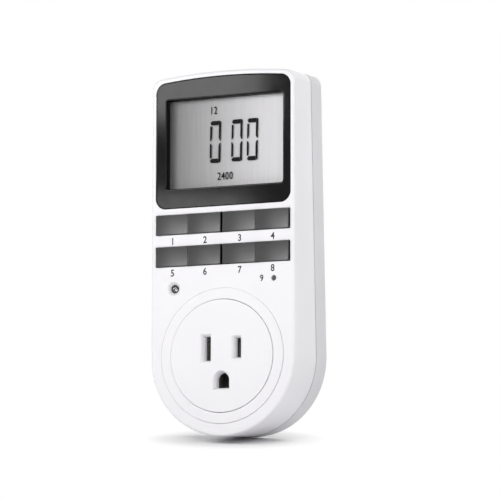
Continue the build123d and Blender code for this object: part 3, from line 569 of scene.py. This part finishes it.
# The inner pieces, by slot: name, two tints, cloud size, roughness, grain size, relief, and the
# rest, of which stretch draws the pattern out along one way.
innerLooks = {
    # ivory frame, dull and even
    "white_frame": ("abs-moulded-frame", "#DAD9D4", "#E2E1DC", 20, (0.45, 0.6), 0.6, 0.01,
                    {"IOR": 1.54}),
    # fine dark and pale layers
    "conductive_rubber": ("rubber-layered-conductive", "#3A3A3A", "#6A6A6A", 0.4, (0.7, 0.85), 0.3,
                          0.01, {"IOR": 1.43, "stretch": (1, 0.1, 0.1)}),
    # green lacquer with a low uneven shine
    "board_laminate": ("laminate-solder-mask", "#235C2E", "#2F7039", 4, (0.30, 0.45), 1.2, 0.02,
                       {"IOR": 1.5}),
    # bluish grey metal with blurred highlights
    "zinc_screw": ("steel-zinc-plated", "#A9ACB3", "#BDBFC4", 3, (0.28, 0.42), 0.3, 0.01,
                   {"Metallic": 1.0}),
    # dull charcoal with a fine grain
    "black_resin": ("epoxy-moulded-black", "#1B1B1C", "#242425", 5, (0.5, 0.65), 0.3, 0.01,
                    {"IOR": 1.55}),
    # soft cloudy grey
    "silicone_mat": ("silicone-moulded", "#B9B9B7", "#C6C6C4", 10, (0.55, 0.7), 0.5, 0.01,
                     {"IOR": 1.41}),
    # dim silvery strip, marked across its bends
    "brass_contact": ("bronze-tin-plated", "#9C9B96", "#B1B0AB", 5, (0.25, 0.4), 0.6, 0.006,
                      {"Metallic": 1.0, "stretch": (1, 1, 0.2)}),
    # smooth deep blue box
    "relay_cover": ("pbt-moulded-blue", "#23386B", "#2B4379", 12, (0.25, 0.35), 0.8, 0.004,
                    {"IOR": 1.55}),
    # grey stamped metal, almost dull
    "relay_iron": ("iron-stamped", "#8C8C8C", "#9E9E9E", 5, (0.4, 0.55), 0.4, 0.01,
                   {"Metallic": 1.0}),
    # close turns of lacquered copper
    "copper_coil": ("copper-wire-enamelled", "#8A3E16", "#B4602A", 0.5, (0.25, 0.4), 0.25, 0.03,
                    {"IOR": 1.5, "stretch": (1, 0.1, 0.1)}),
    # shiny yellow box
    "yellow_film": ("pbt-moulded-yellow", "#D8A21E", "#E0AE30", 8, (0.25, 0.35), 0.8, 0.005,
                    {"IOR": 1.55}),
    # tight dark sleeve with soft streaks of light
    "can_sleeve": ("pvc-sleeve-shrunk", "#17181C", "#24262C", 6, (0.2, 0.3), 1.0, 0.01,
                   {"IOR": 1.53}),
    # thick blue coat, slightly lumpy
    "blue_varistor": ("epoxy-dipped-blue", "#1E4C9A", "#2A5DB0", 5, (0.25, 0.4), 1.5, 0.05,
                      {"IOR": 1.55}),
    # pale drawn metal
    "steel_can": ("steel-drawn", "#B4B4B4", "#C4C4C4", 5, (0.2, 0.35), 0.5, 0.005,
                  {"Metallic": 1.0, "stretch": (1, 0.2, 1)}),
    # flat grey cable ribbed along its wires
    "grey_ribbon": ("pvc-ribbon-extruded", "#8B8B8B", "#9A9A9A", 1.3, (0.4, 0.55), 1.27, 0.1,
                    {"IOR": 1.53, "stretch": (1, 0.05, 0.05)}),
    # smooth pale sleeve
    "lead_sleeve": ("pvc-sleeve-extruded", "#C2C2C2", "#D2D2D2", 8, (0.35, 0.5), 0.8, 0.005,
                    {"IOR": 1.53}),
}
innerFinishes = {slot: moulded(*row[:-1], **row[-1]) for slot, row in innerLooks.items()}
innerFinishes.update(nickel_plug=nickel, white_shell=whiteShell, white_rear_shell=rearWhite)
# Pale grey block, so that the slots of the outlet look dark but not empty.
carrierGrey = moulded("pbt-moulded-grey", "#C4C4C6", "#CECED0", 8, (0.5, 0.6), 0.6, 0.01, IOR=1.55)
print("finishes done")


# Front shell

front = {
    "edge": 0.95, "seamEdge": 0.2, "strip": 0.05,
    "bezelHalf": 28.2, "bezelTop": 103.3, "bezelBottom": 53.6, "bezelCorner": 4.2, "bezelGap": 0.05,
    "holeEdge": 0.08, "holeLand": 1.6,  # the second is a multiple of a hole's edge
    "rowHalf": (28.05, 3.9), "rowCorner": 0.3,
    "resetHole": 1.05, "resetEdge": 0.15,
    "lampRecess": 2.6, "lampHole": 1.65, "lampDepth": 1.0,
    "lampMouth": ((0.3, 0), (0.08, -0.02), (0, -0.08)),  # past the recess, and height
    "lampSeat": ((0.12, 0.08), (0, -0.05)),  # past the hole, and height from the recess's floor
    "ring": 25.3, "ringRise": 0.35, "ringEdge": 0.15, "ringLand": 0.6, "bore": 21.36,
    "ringMoat": ((0.6, 0), (0.3, 0), (0.24, -0.05), (0.2, -0.3), (0, -0.3)),  # past it, and height
}


def archedOutline(half, corner, radius, lower):
    # Two upper corners with a shallow arch between them, after the arcs below. The corners touch
    # the arch from inside, so their centres are radius - corner from its own.
    reach = math.sqrt((radius - corner) ** 2 - (half - corner) ** 2)
    angle, high = math.degrees(math.atan2(reach, half - corner)), reach - timer["archDrop"]
    return outline(lower + [(half - corner, high, corner, 0, angle, 13),
                            (0, -timer["archDrop"], radius, angle, 180 - angle, 33),
                            (corner - half, high, corner, 180 - angle, 180, 13)])


def bodyOutline():
    # The body seen from the front: a half circle below and the arch above.
    half = timer["half"]
    below = [(0, -timer["roundDrop"], half, -180, 0, 97)]
    return archedOutline(half, timer["corner"], timer["arch"], below)


def bezelOutline():
    # The dark panel on the face: the same arch drawn in, and four alike corners.
    half, corner = front["bezelHalf"], front["bezelCorner"]
    low = front["bezelBottom"] + corner
    below = [(corner - half, low, corner, 180, 270, 13), (half - corner, low, corner, 270, 360, 13)]
    return archedOutline(half, corner, front["bezelTop"] + timer["archDrop"], below)


bodyShape, bezelShape = bodyOutline(), bezelOutline()


def holeRows(shape, edge, bottom):
    # A hole with a softened mouth: a rounding outside the outline, then a wall down to the bottom.
    steps = [(edge * front["holeLand"], 0)]
    steps += [(inward, -below) for inward, below in rounding(edge, 4)[::-1]]
    return carried(shape, steps + [(0, bottom)])


def makeFront():
    # Outer skin: the profile from the seam up the wall and round the front edge, carried along the
    # body's outline. Inner skin: the same outline drawn in by the wall. Each hole's wall joins the
    # two front faces.
    wall, seam, bottom = timer["wall"], timer["seam"], -timer["faceWall"] * leanCos
    steps = [(-inward, -seam - below) for inward, below in rounding(front["seamEdge"], 4)[::-1]]
    outer = carried(bodyShape, [(-wall, -seam)] + steps, atDepth)
    steps = [(-inward, below) for inward, below in rounding(front["edge"], 7)]
    outer += carried(bodyShape, steps + [(-front["edge"] - front["strip"], 0)], behindFront)
    inner = carried(bodyShape, [(-wall, -seam)], atDepth)
    inner += carried(bodyShape, [(-wall, timer["faceWall"])], behindFront)

    shape = moved(bezelShape, front["bezelGap"]), bezelShape[1]
    holes = [holeRows(shape, front["holeEdge"], bottom)]
    for rowHeight in timer["keyRows"]:
        shape = roundedBox(0, rowHeight, *front["rowHalf"], front["rowCorner"])
        holes.append(holeRows(shape, front["holeEdge"], bottom))
    shape = circle(*timer["resetPlace"], front["resetHole"], 32)
    holes.append(holeRows(shape, front["resetEdge"], bottom))

    hole = front["lampHole"]
    profile = [(front["lampRecess"] + out, height) for out, height in front["lampMouth"]]
    profile += [(hole + out, height - front["lampDepth"]) for out, height in front["lampSeat"]]
    holes.append(turned(circle(*timer["lampPlace"], 1, 48), profile + [(hole, bottom)]))

    ring, bore, rise, land = (front[key] for key in ("ring", "bore", "ringRise", "ringLand"))
    soft = rounding(front["ringEdge"], 5)
    profile = [(ring + out, height) for out, height in front["ringMoat"]]
    profile += [(ring - inward, rise - below) for inward, below in soft]
    profile += [(ring - land, rise), (bore + land, rise)]
    profile += [(bore + inward, rise - below) for inward, below in soft[::-1]]
    holes.append(turned(circle(0, -timer["roundDrop"], 1, 128), profile + [(bore, bottom)]))

    patches = pierced([outer, inner], holes, (outer[-1], inner[-1]), (0, bottom))
    makePiece("frontShell", patches, "timer_body", whiteShell, ["front_housing"])


makeFront()


# Rear shell

rear = {
    "edge": 0.7, "strip": 0.3, "neck": 0.75, "neckDepth": 1.2, "lip": 0.15, "floorWall": 2.2,
    "screws": ((25.3, 99.3), (-25.3, 99.3), (16.93, -21.7), (-16.93, -21.7)),
    "bore": 2.45, "boreLand": 0.25, "boreEdge": 0.2, "seat": 4.2, "stem": 1.35,
    "boss": 2.6, "bossDrop": 0.4,
    "blade": (0.91, 3.325), "bladeCorner": 0.2, "pin": 2.85,
    "mouth": ((0.3, 0), (0.1, -0.02), (0, -0.12)),  # past the blade or pin, and height
}


def makeRear():
    # The tray: from the inner rim over the neck, down the wall, round the back edge and across the
    # back. Screw wells go up from the back into their bosses; blades and pin have plain holes.
    wall, seam, floorWall, neck = timer["wall"], timer["seam"], rear["floorWall"], rear["neckDepth"]
    step, edge = seam - rear["neck"], rear["edge"]
    steps = [(-wall, -seam), (-neck, -seam), (-neck, -step)]
    steps += [(-inward, below - step) for inward, below in rounding(rear["lip"], 4)[::-1]]
    steps += [(-inward, -below) for inward, below in rounding(edge, 7)]
    outer = carried(bodyShape, steps + [(-edge - rear["strip"], 0)], atDepth)
    inner = carried(bodyShape, [(-wall, -seam), (-wall, -floorWall)], atDepth)

    bore, stem, boss, seat = (rear[key] for key in ("bore", "stem", "boss", "seat"))
    profile = [(bore + rear["boreLand"], 0)]
    profile += [(bore + inward, -below) for inward, below in rounding(rear["boreEdge"], 4)[::-1]]
    bossEnd = rear["bossDrop"] - seam
    profile += [(bore, -seat), (stem, -seat), (stem, bossEnd), (boss, bossEnd), (boss, -floorWall)]
    holes = [turned(circle(*place, 1, 40), profile, atDepth) for place in rear["screws"]]
    across, corner = timer["bladeSpacing"] / 2, rear["bladeCorner"]
    shapes = [roundedBox(side * across, 0, *rear["blade"], corner, 4) for side in (-1, 1)]
    for shape in shapes + [circle(0, -timer["groundDrop"], rear["pin"], 48)]:
        holes.append(carried(shape, [*rear["mouth"], (0, -floorWall)], atDepth))

    rims = outer[-1], inner[-1]
    patches = pierced([outer, inner], holes, rims, (0, -floorWall), atDepth)
    makePiece("rearShell", patches, "timer_body", rearWhite, ["rear_housing"])


makeRear()

screw = {
    "seat": 4.2, "head": 2.3, "tall": 1.7, "shank": 1.2, "long": 12.0,
    "point": (0.25, 0.1, 1.6),  # the tip's radius, where its slope starts and where that ends
    "crown": 0.6, "crownDrop": 0.1, "side": 0.75, "flat": 1.5,
    "cross": (1.3, 0.27),  # an arm's length, and half its width
    "sink": ((1.06, 0), (1, 0.05), (0.45, 0.95)),  # share of the cross, and depth
    "around": 48,  # points round a screw
}


def makeScrews():
    # Pan head screws: a profile turned round each place, whose top is filled around a cross, and
    # the cross sinks in while it shrinks to its middle.
    seat, head, shank, flat = (screw[key] for key in ("seat", "head", "shank", "flat"))
    top, tip = -seat + screw["tall"], -seat - screw["long"]
    blunt, start, end = screw["point"]
    profile = [(0, tip), (blunt, tip + start), (shank, tip + end), (shank, -seat)]
    profile += [(head, -seat), (head, top - screw["side"])]
    profile += [(head - inward, top - screw["crownDrop"] - below)
                for inward, below in rounding(screw["crown"], 6)]
    profile += [(flat, top)]
    arm, half = screw["cross"]
    corners = [(arm, -half), (arm, half), (half, half), (half, arm), (-half, arm), (-half, half)]
    cross = np.concatenate([corners, -np.array(corners)])
    patches = []
    for place in rear["screws"]:
        middle = np.array(place)
        sunk = [atDepth(middle + cross * share, top - deep) for share, deep in screw["sink"]]
        rim = atDepth(circle(*place, flat, screw["around"])[0], top)
        patches += [turnedUp(place, profile, atDepth, screw["around"]), skin(sunk)]
        patches += [lid([rim, sunk[0]], top, atDepth),
                    lid([sunk[-1]], top - screw["sink"][-1][1], atDepth)]
    makePiece("housingScrews", patches, "timer_body", innerFinishes["zinc_screw"],
              ["housing_screws"])


makeScrews()


# Display panel and cell

panel = {"sink": 0.02, "thick": 1.2, "gap": 0.03, "edge": 0.2, "window": (-23.8, 25.0, 61.1, 95.2),
         "corner": 1.0, "windowEdge": 0.3, "land": 0.4, "deep": 3.0, "skirt": 1.0}


def makePanel():
    # A plate along the panel's outline with a softened rim, and a window whose walls go down to the
    # cell.
    left, right, low, high = panel["window"]
    window = roundedBox((left + right) / 2, (low + high) / 2, (right - left) / 2, (high - low) / 2,
                        panel["corner"], 8)
    top, deep, land = -panel["sink"], -panel["deep"], panel["land"]
    under = top - panel["thick"]
    steps = [(-inward, top - below) for inward, below in rounding(panel["edge"], 6)]
    steps = [(0, under)] + steps + [(-panel["edge"] - land, top)]
    outer = carried((moved(bezelShape, -panel["gap"]), bezelShape[1]), steps)
    steps = [(inward, top - below) for inward, below in rounding(panel["windowEdge"], 6)[::-1]]
    steps = [(panel["windowEdge"] + land, top)] + steps + [(0, deep)]
    inner = carried(window, steps + [(panel["skirt"], deep), (panel["skirt"], under)])
    patches = pierced([outer], [inner], (outer[-1], outer[0]), (top, under))
    makePiece("displayPanel", patches, "timer_body", panelBlack, ["display_bezel"])


makePanel()

cell = {
    "middle": (0.6, 78.15), "half": (24.9, 17.55), "corner": 0.3, "edge": 0.1,
    "reflector": (-5.15, -3.5), "ink": (-3.22, -3.12), "glass": (-3.45, -3.05),  # heights
    "digitLeft": (-7.15, 1.9, 8.4), "digitFoot": 70.6, "digitLean": 0.02, "digitGrow": 1.065,
}
strokes = [  # one digit's parts, from its lower left corner
    [(0.75, 13.5), (3.62, 13.5), (3.95, 15.0), (0.85, 15.0), (0.35, 14.6), (0.3, 13.95)],
    [(3.75, 13.4), (3.75, 8.9), (4.2, 7.85), (4.45, 7.85), (4.6, 8.1), (4.6, 14.5), (4.35, 14.9),
     (4.05, 14.95)],
    [(0.1, 13.0), (0.1, 7.9), (0.35, 7.85), (0.85, 8.9), (0.85, 12.9), (0.6, 13.2), (0.3, 13.2)],
    [(0.1, 7.0), (0.1, 1.75), (0.5, 1.7), (0.85, 2.0), (0.85, 6.1), (0.3, 7.05)],
    [(3.75, 6.1), (3.75, 1.6), (4.05, 0.1), (4.35, 0.15), (4.6, 0.5), (4.6, 6.9), (4.4, 7.1),
     (4.2, 7.1)],
    [(0.35, 0.4), (0.85, 0), (3.95, 0), (3.62, 1.5), (0.95, 1.5), (0.35, 1.05)],
]


def cellPlate(low, high):
    # A flat slab: its wall carried along the outline, with the upper rim softened, and both faces
    # filled.
    shape, edge = roundedBox(*cell["middle"], *cell["half"], cell["corner"]), cell["edge"]
    steps = [(-inward, high - below) for inward, below in rounding(edge, 4)]
    rows = carried(shape, [(0, low)] + steps + [(-edge * 2, high)])
    return [skin(rows), lid([rows[0]], low), lid([rows[-1]], high)]


def makeCell():
    # The display cell: a reflector, the dark strokes a little above it, and a clear cover over
    # both.
    makePiece("cellReflector", cellPlate(*cell["reflector"]), "timer_body",
              reflector, ["lcd_cell"])
    patches = []
    for x in cell["digitLeft"]:
        for stroke in strokes:
            across, up = (np.array(stroke) * (1, cell["digitGrow"])).T
            flat = np.stack([x + across + up * cell["digitLean"], cell["digitFoot"] + up], -1)
            patches.append(skin([onFace(flat, height) for height in cell["ink"]]))
            patches += [fill([flat], lambda points, out=height: onFace(points, out))
                        for height in cell["ink"]]
    makePiece("cellStrokes", patches, "timer_body", segments)
    makePiece("cellCover", cellPlate(*cell["glass"]), "timer_body", coverGlass)


makeCell()


# Keys

keys = {
    "half": (6.8, 3.75), "corner": 0.25, "proud": 1.0, "edge": 0.18, "foot": -2.45,
    "dish": (0.55, 0.16),  # depth of the trough across and of the one up
    "sidePoints": 14, "longRun": 2,  # points along each run longer than this, for a smooth dish
    "rings": (0.97, 0.92, 0.85, 0.76, 0.66, 0.55, 0.44, 0.33, 0.22, 0.11, 0),  # shares of the cap
}


def keyOutline(x, v):
    # A rounded rectangle whose long runs are cut into equal steps.
    ring, ways = roundedBox(x, v, *keys["half"], keys["corner"], 9)
    nextRing, nextWays = np.roll(ring, -1, 0), np.roll(ways, -1, 0)
    runs = np.linalg.norm(nextRing - ring, axis=1)
    count = np.where(runs > keys["longRun"], keys["sidePoints"], 1)
    which = np.repeat(np.arange(len(ring)), count)
    along = (np.concatenate([np.arange(n) for n in count]) / np.repeat(count, count))[:, None]
    return (ring[which] * (1 - along) + nextRing[which] * along,
            ways[which] * (1 - along) + nextWays[which] * along)


def makeKey(number, x, v):
    # A cap: its wall carried along the outline, then the same outline shrunk to its middle. Every
    # row is lowered by two shallow troughs, one across and one up, each deepest along its middle:
    # depth * (1 - (distance from the middle / half the cap) ** 2).
    shape, edge, middle = keyOutline(x, v), keys["edge"], np.array([x, v])
    top = moved(shape, -edge)
    flats = [(moved(shape, -inward), below) for inward, below in rounding(edge, 5)]
    flats += [(middle + (top - middle) * share, 0) for share in keys["rings"]]
    rows = [onFace(shape[0], keys["foot"])]
    for flat, below in flats:
        share = (flat - middle) / keys["half"]
        rows.append(onFace(flat, keys["proud"] - below - (1 - share ** 2) @ keys["dish"]))
    name = f"key_{number}"
    patches = [skin(rows), lid([rows[0]], keys["foot"])]
    makePiece(f"keyCap{number}", patches, name, keyGrey, [name])


for number, (v, x) in enumerate([(v, x) for v in timer["keyRows"] for x in timer["keyColumns"]], 1):
    makeKey(number, x, v)


# Indicator lamp and reset button

lamp = {
    "radius": 1.5, "top": -0.2, "dome": 1.1, "stemFoot": -2.3, "flange": 1.85, "foot": -4.1,
    "cup": 0.75,
    "cupRows": ((0, -1.6), (0.5, -1.6), (0.5, -0.9), (1, -0.3), (1, -0.15), (0.88, -0.15),
                (0.4, -0.7), (0, -0.7)),  # share of the cup's radius, height from the dome's foot
}
reset = {"radius": 0.9, "top": -0.8, "edge": 0.25, "flat": 0.3, "foot": -3.0}


def makeLamp():
    # A clear dome: a quarter of an ellipse turned round, over a straight stem, with a small metal
    # cup inside.
    radius, top, flange, foot = (lamp[key] for key in ("radius", "top", "flange", "foot"))
    profile = [(0, foot), (flange, foot), (flange, lamp["stemFoot"]), (radius, lamp["stemFoot"])]
    profile += [(radius * math.cos(turn), top - lamp["dome"] * (1 - math.sin(turn)))
                for turn in np.linspace(0, math.pi / 2, 10)]
    dome = turnedUp(timer["lampPlace"], profile, onFace)
    makePiece("lampDome", [dome], "timer_body", clearEpoxy, ["indicator_lamp"])
    rim = top - lamp["dome"]
    profile = [(lamp["cup"] * share, rim + height) for share, height in lamp["cupRows"]]
    cup = turnedUp(timer["lampPlace"], profile, onFace, 32)
    makePiece("lampCup", [cup], "timer_body", nickel)


def makeReset():
    # A plunger with a rounded top, down its hole.
    radius, top, foot = reset["radius"], reset["top"], reset["foot"]
    profile = [(0, foot), (radius, foot)]
    profile += [(radius - inward, top - below) for inward, below in rounding(reset["edge"], 5)]
    profile += [(reset["flat"], top), (0, top)]
    plunger = turnedUp(timer["resetPlace"], profile, onFace, 40)
    makePiece("resetPlunger", [plunger], "reset_button", buttonGrey,
              ["reset_button"])


makeLamp()
makeReset()


# Outlet face

outlet = {
    "radius": 21.16, "proud": 0.7, "edge": 0.2, "land": 0.7, "back": 3.15,
    "flange": 22.3, "flangeTop": -2.25,
    "slots": ((-1, 2.85, 9.2), (1, 2.6, 7.5)),  # side, width and height
    "leadIn": (0.72, 1.25), "leadInLip": 0.04, "leadInLand": (0.3, 0.05),
    "ground": 2.75, "groundFlat": 3.1,
}


def groundHole():
    # A half circle above straight sides and a flat, whose two corners are mitred.
    v, radius = -timer["groundDrop"], outlet["ground"]
    ring, ways = outline([(0, v, radius, 0, 180, 33)])
    foot = np.array([(-radius, v - outlet["groundFlat"]), (radius, v - outlet["groundFlat"])])
    return np.concatenate([ring, foot]), np.concatenate([ways, [(-1, -1), (1, -1)]])


def makeOutlet():
    # A disc turned round its middle, with three holes whose mouths slope in and whose walls go
    # through.
    radius, flange, top, back = outlet["radius"], outlet["flange"], outlet["proud"], -outlet["back"]
    profile = [(flange, back), (flange, outlet["flangeTop"]), (radius, outlet["flangeTop"])]
    profile += [(radius - inward, top - below) for inward, below in rounding(outlet["edge"], 5)]
    profile.append((radius - outlet["land"], top))
    outer = turned(circle(0, -timer["roundDrop"], 1, 128), profile)
    mouth, deep = outlet["leadIn"]
    steps = [(mouth + land, top) for land in outlet["leadInLand"]]
    steps += [(mouth, top - outlet["leadInLip"]), (0, top - deep), (0, back)]
    shapes = [squareBox(side * timer["bladeSpacing"] / 2, 0, wide / 2, tall / 2)
              for side, wide, tall in outlet["slots"]]
    holes = [carried(shape, steps) for shape in shapes + [groundHole()]]
    patches = pierced([outer], holes, (outer[-1], outer[0]), (top, back))
    makePiece("outletDisc", patches, "timer_body", whiteShell, ["outlet_face"])


makeOutlet()
print("pieces on the front done")


# Printed numbers

prints = {
    "rows": (39.9, 27.9), "tall": 3.6, "thick": 0.03, "narrow": 0.88, "bold": 0.09,
    "reset": (16.4, 24.4), "resetTall": 3.3, "resetBold": 0.1,
    "cellWords": (("12", -5.4, 89.3), ("2400", -0.5, 64.0)),
    "cellTall": 4.1, "cellNarrow": 0.72, "cellBold": 0.03,
}


def makePrints():
    # Plain numbers: one under each key, one by the small hole, and small ones on the display.
    thick, narrow = prints["thick"], prints["narrow"]
    places = [(x, v, 0.0) for v in prints["rows"] for x in timer["keyColumns"]]
    patches = [textFlat(str(number), prints["tall"], place, thick, narrow, prints["bold"])
               for number, place in enumerate(places, 1)]
    place = (*prints["reset"], 0.0)
    patches.append(textFlat("9", prints["resetTall"], place, thick, narrow, prints["resetBold"]))
    makePiece("printedNumbers", patches, "timer_body", printInk)
    tall, narrow, bold = prints["cellTall"], prints["cellNarrow"], prints["cellBold"]
    patches = [textFlat(text, tall, (x, v, sum(cell["ink"]) / 2), thick, narrow, bold)
               for text, x, v in prints["cellWords"]]
    makePiece("cellNumbers", patches, "timer_body", segments)


makePrints()


# Plug

plug = {
    "thick": 1.52, "wide": 6.35, "long": 17.5, "tip": 2.0, "hole": 1.6, "holeFromTip": 5.0,
    "edge": 0.2, "land": 0.5, "root": -6.0, "rootCorner": 0.7,
    "pin": 2.38, "pinLong": 20.6,
    "pinRoot": ((0, -6.0), (3.3, -6.0), (3.3, -2.3), (2.7, -2.3), (2.7, -0.05)),  # radius, height
    "pinShank": (0.0, 2.0),  # heights
    "pinTip": ((0, 2.15), (0.03, 1.9), (0.95, 0.2), (1.15, 0)),  # in from the shank, below the end
}


def makeBlade(name, x, node):
    # A stamped blade: both flat sides have the outline with its hole, and the rims between them are
    # softened.
    half, wide, tip, land = plug["thick"] / 2, plug["wide"] / 2, plug["tip"], plug["land"]
    corner, nose = plug["rootCorner"], plug["long"] - tip
    root = plug["root"] + corner
    shape = outline([(nose, -wide + tip, tip, -90, 0, 9), (nose, wide - tip, tip, 0, 90, 9),
                     (root, wide - corner, corner, 90, 180, 6),
                     (root, -wide + corner, corner, 180, 270, 6)])
    ring, ways = circle(plug["long"] - plug["holeFromTip"], 0, plug["hole"], 40)

    def stood(flat, across):
        # The outline's first number goes back into the wall and its second one up.
        return np.stack([x + np.broadcast_to(across, len(flat)), flat[:, 0], flat[:, 1]], -1)

    soft = rounding(plug["edge"], 4)
    steps = [(-land, -half)] + [(-inward, below - half) for inward, below in soft[::-1]]
    steps += [(-inward, half - below) for inward, below in soft] + [(-land, half)]
    rims = [carried(shape, steps, stood), carried((ring, -ways), steps, stood)]
    patches = [skin(rows) for rows in rims]
    for end, side in ((0, -half), (-1, half)):
        loops = [rows[end][:, 1:] for rows in rims]
        patches.append(fill(loops, lambda flat, side=side: stood(flat, side)))
    makePiece(name, patches, "timer_body", nickel, [node])


def makePin():
    # A round pin turned about its own line, with a sloped tip and a wider root inside the housing.
    radius, length = plug["pin"], plug["pinLong"]
    profile = [*plug["pinRoot"]] + [(radius, height) for height in plug["pinShank"]]
    profile += [(radius - inward, length - below) for inward, below in plug["pinTip"]]
    profile.append((0, length))
    pin = turnedUp((0, -timer["groundDrop"]), profile, atDepth)
    makePiece("groundPin", [pin], "timer_body", nickel, ["ground_pin"])


makeBlade("bladeLeft", -timer["bladeSpacing"] / 2, "neutral_blade")
makeBlade("bladeRight", timer["bladeSpacing"] / 2, "line_blade")
makePin()
print("plug done")


# Inner pieces keep their solids and get their finishes

for row in frame["record"]["subparts"]:
    holder = frame["nodes"][row["node"]]
    if row["material_slot"] in innerFinishes and not holder.hide_render:
        holder.data.materials.clear()
        holder.data.materials.append(innerFinishes[row["material_slot"]])
frame["nodes"]["contact_carrier"].data.materials[0] = carrierGrey
print("inner pieces done")
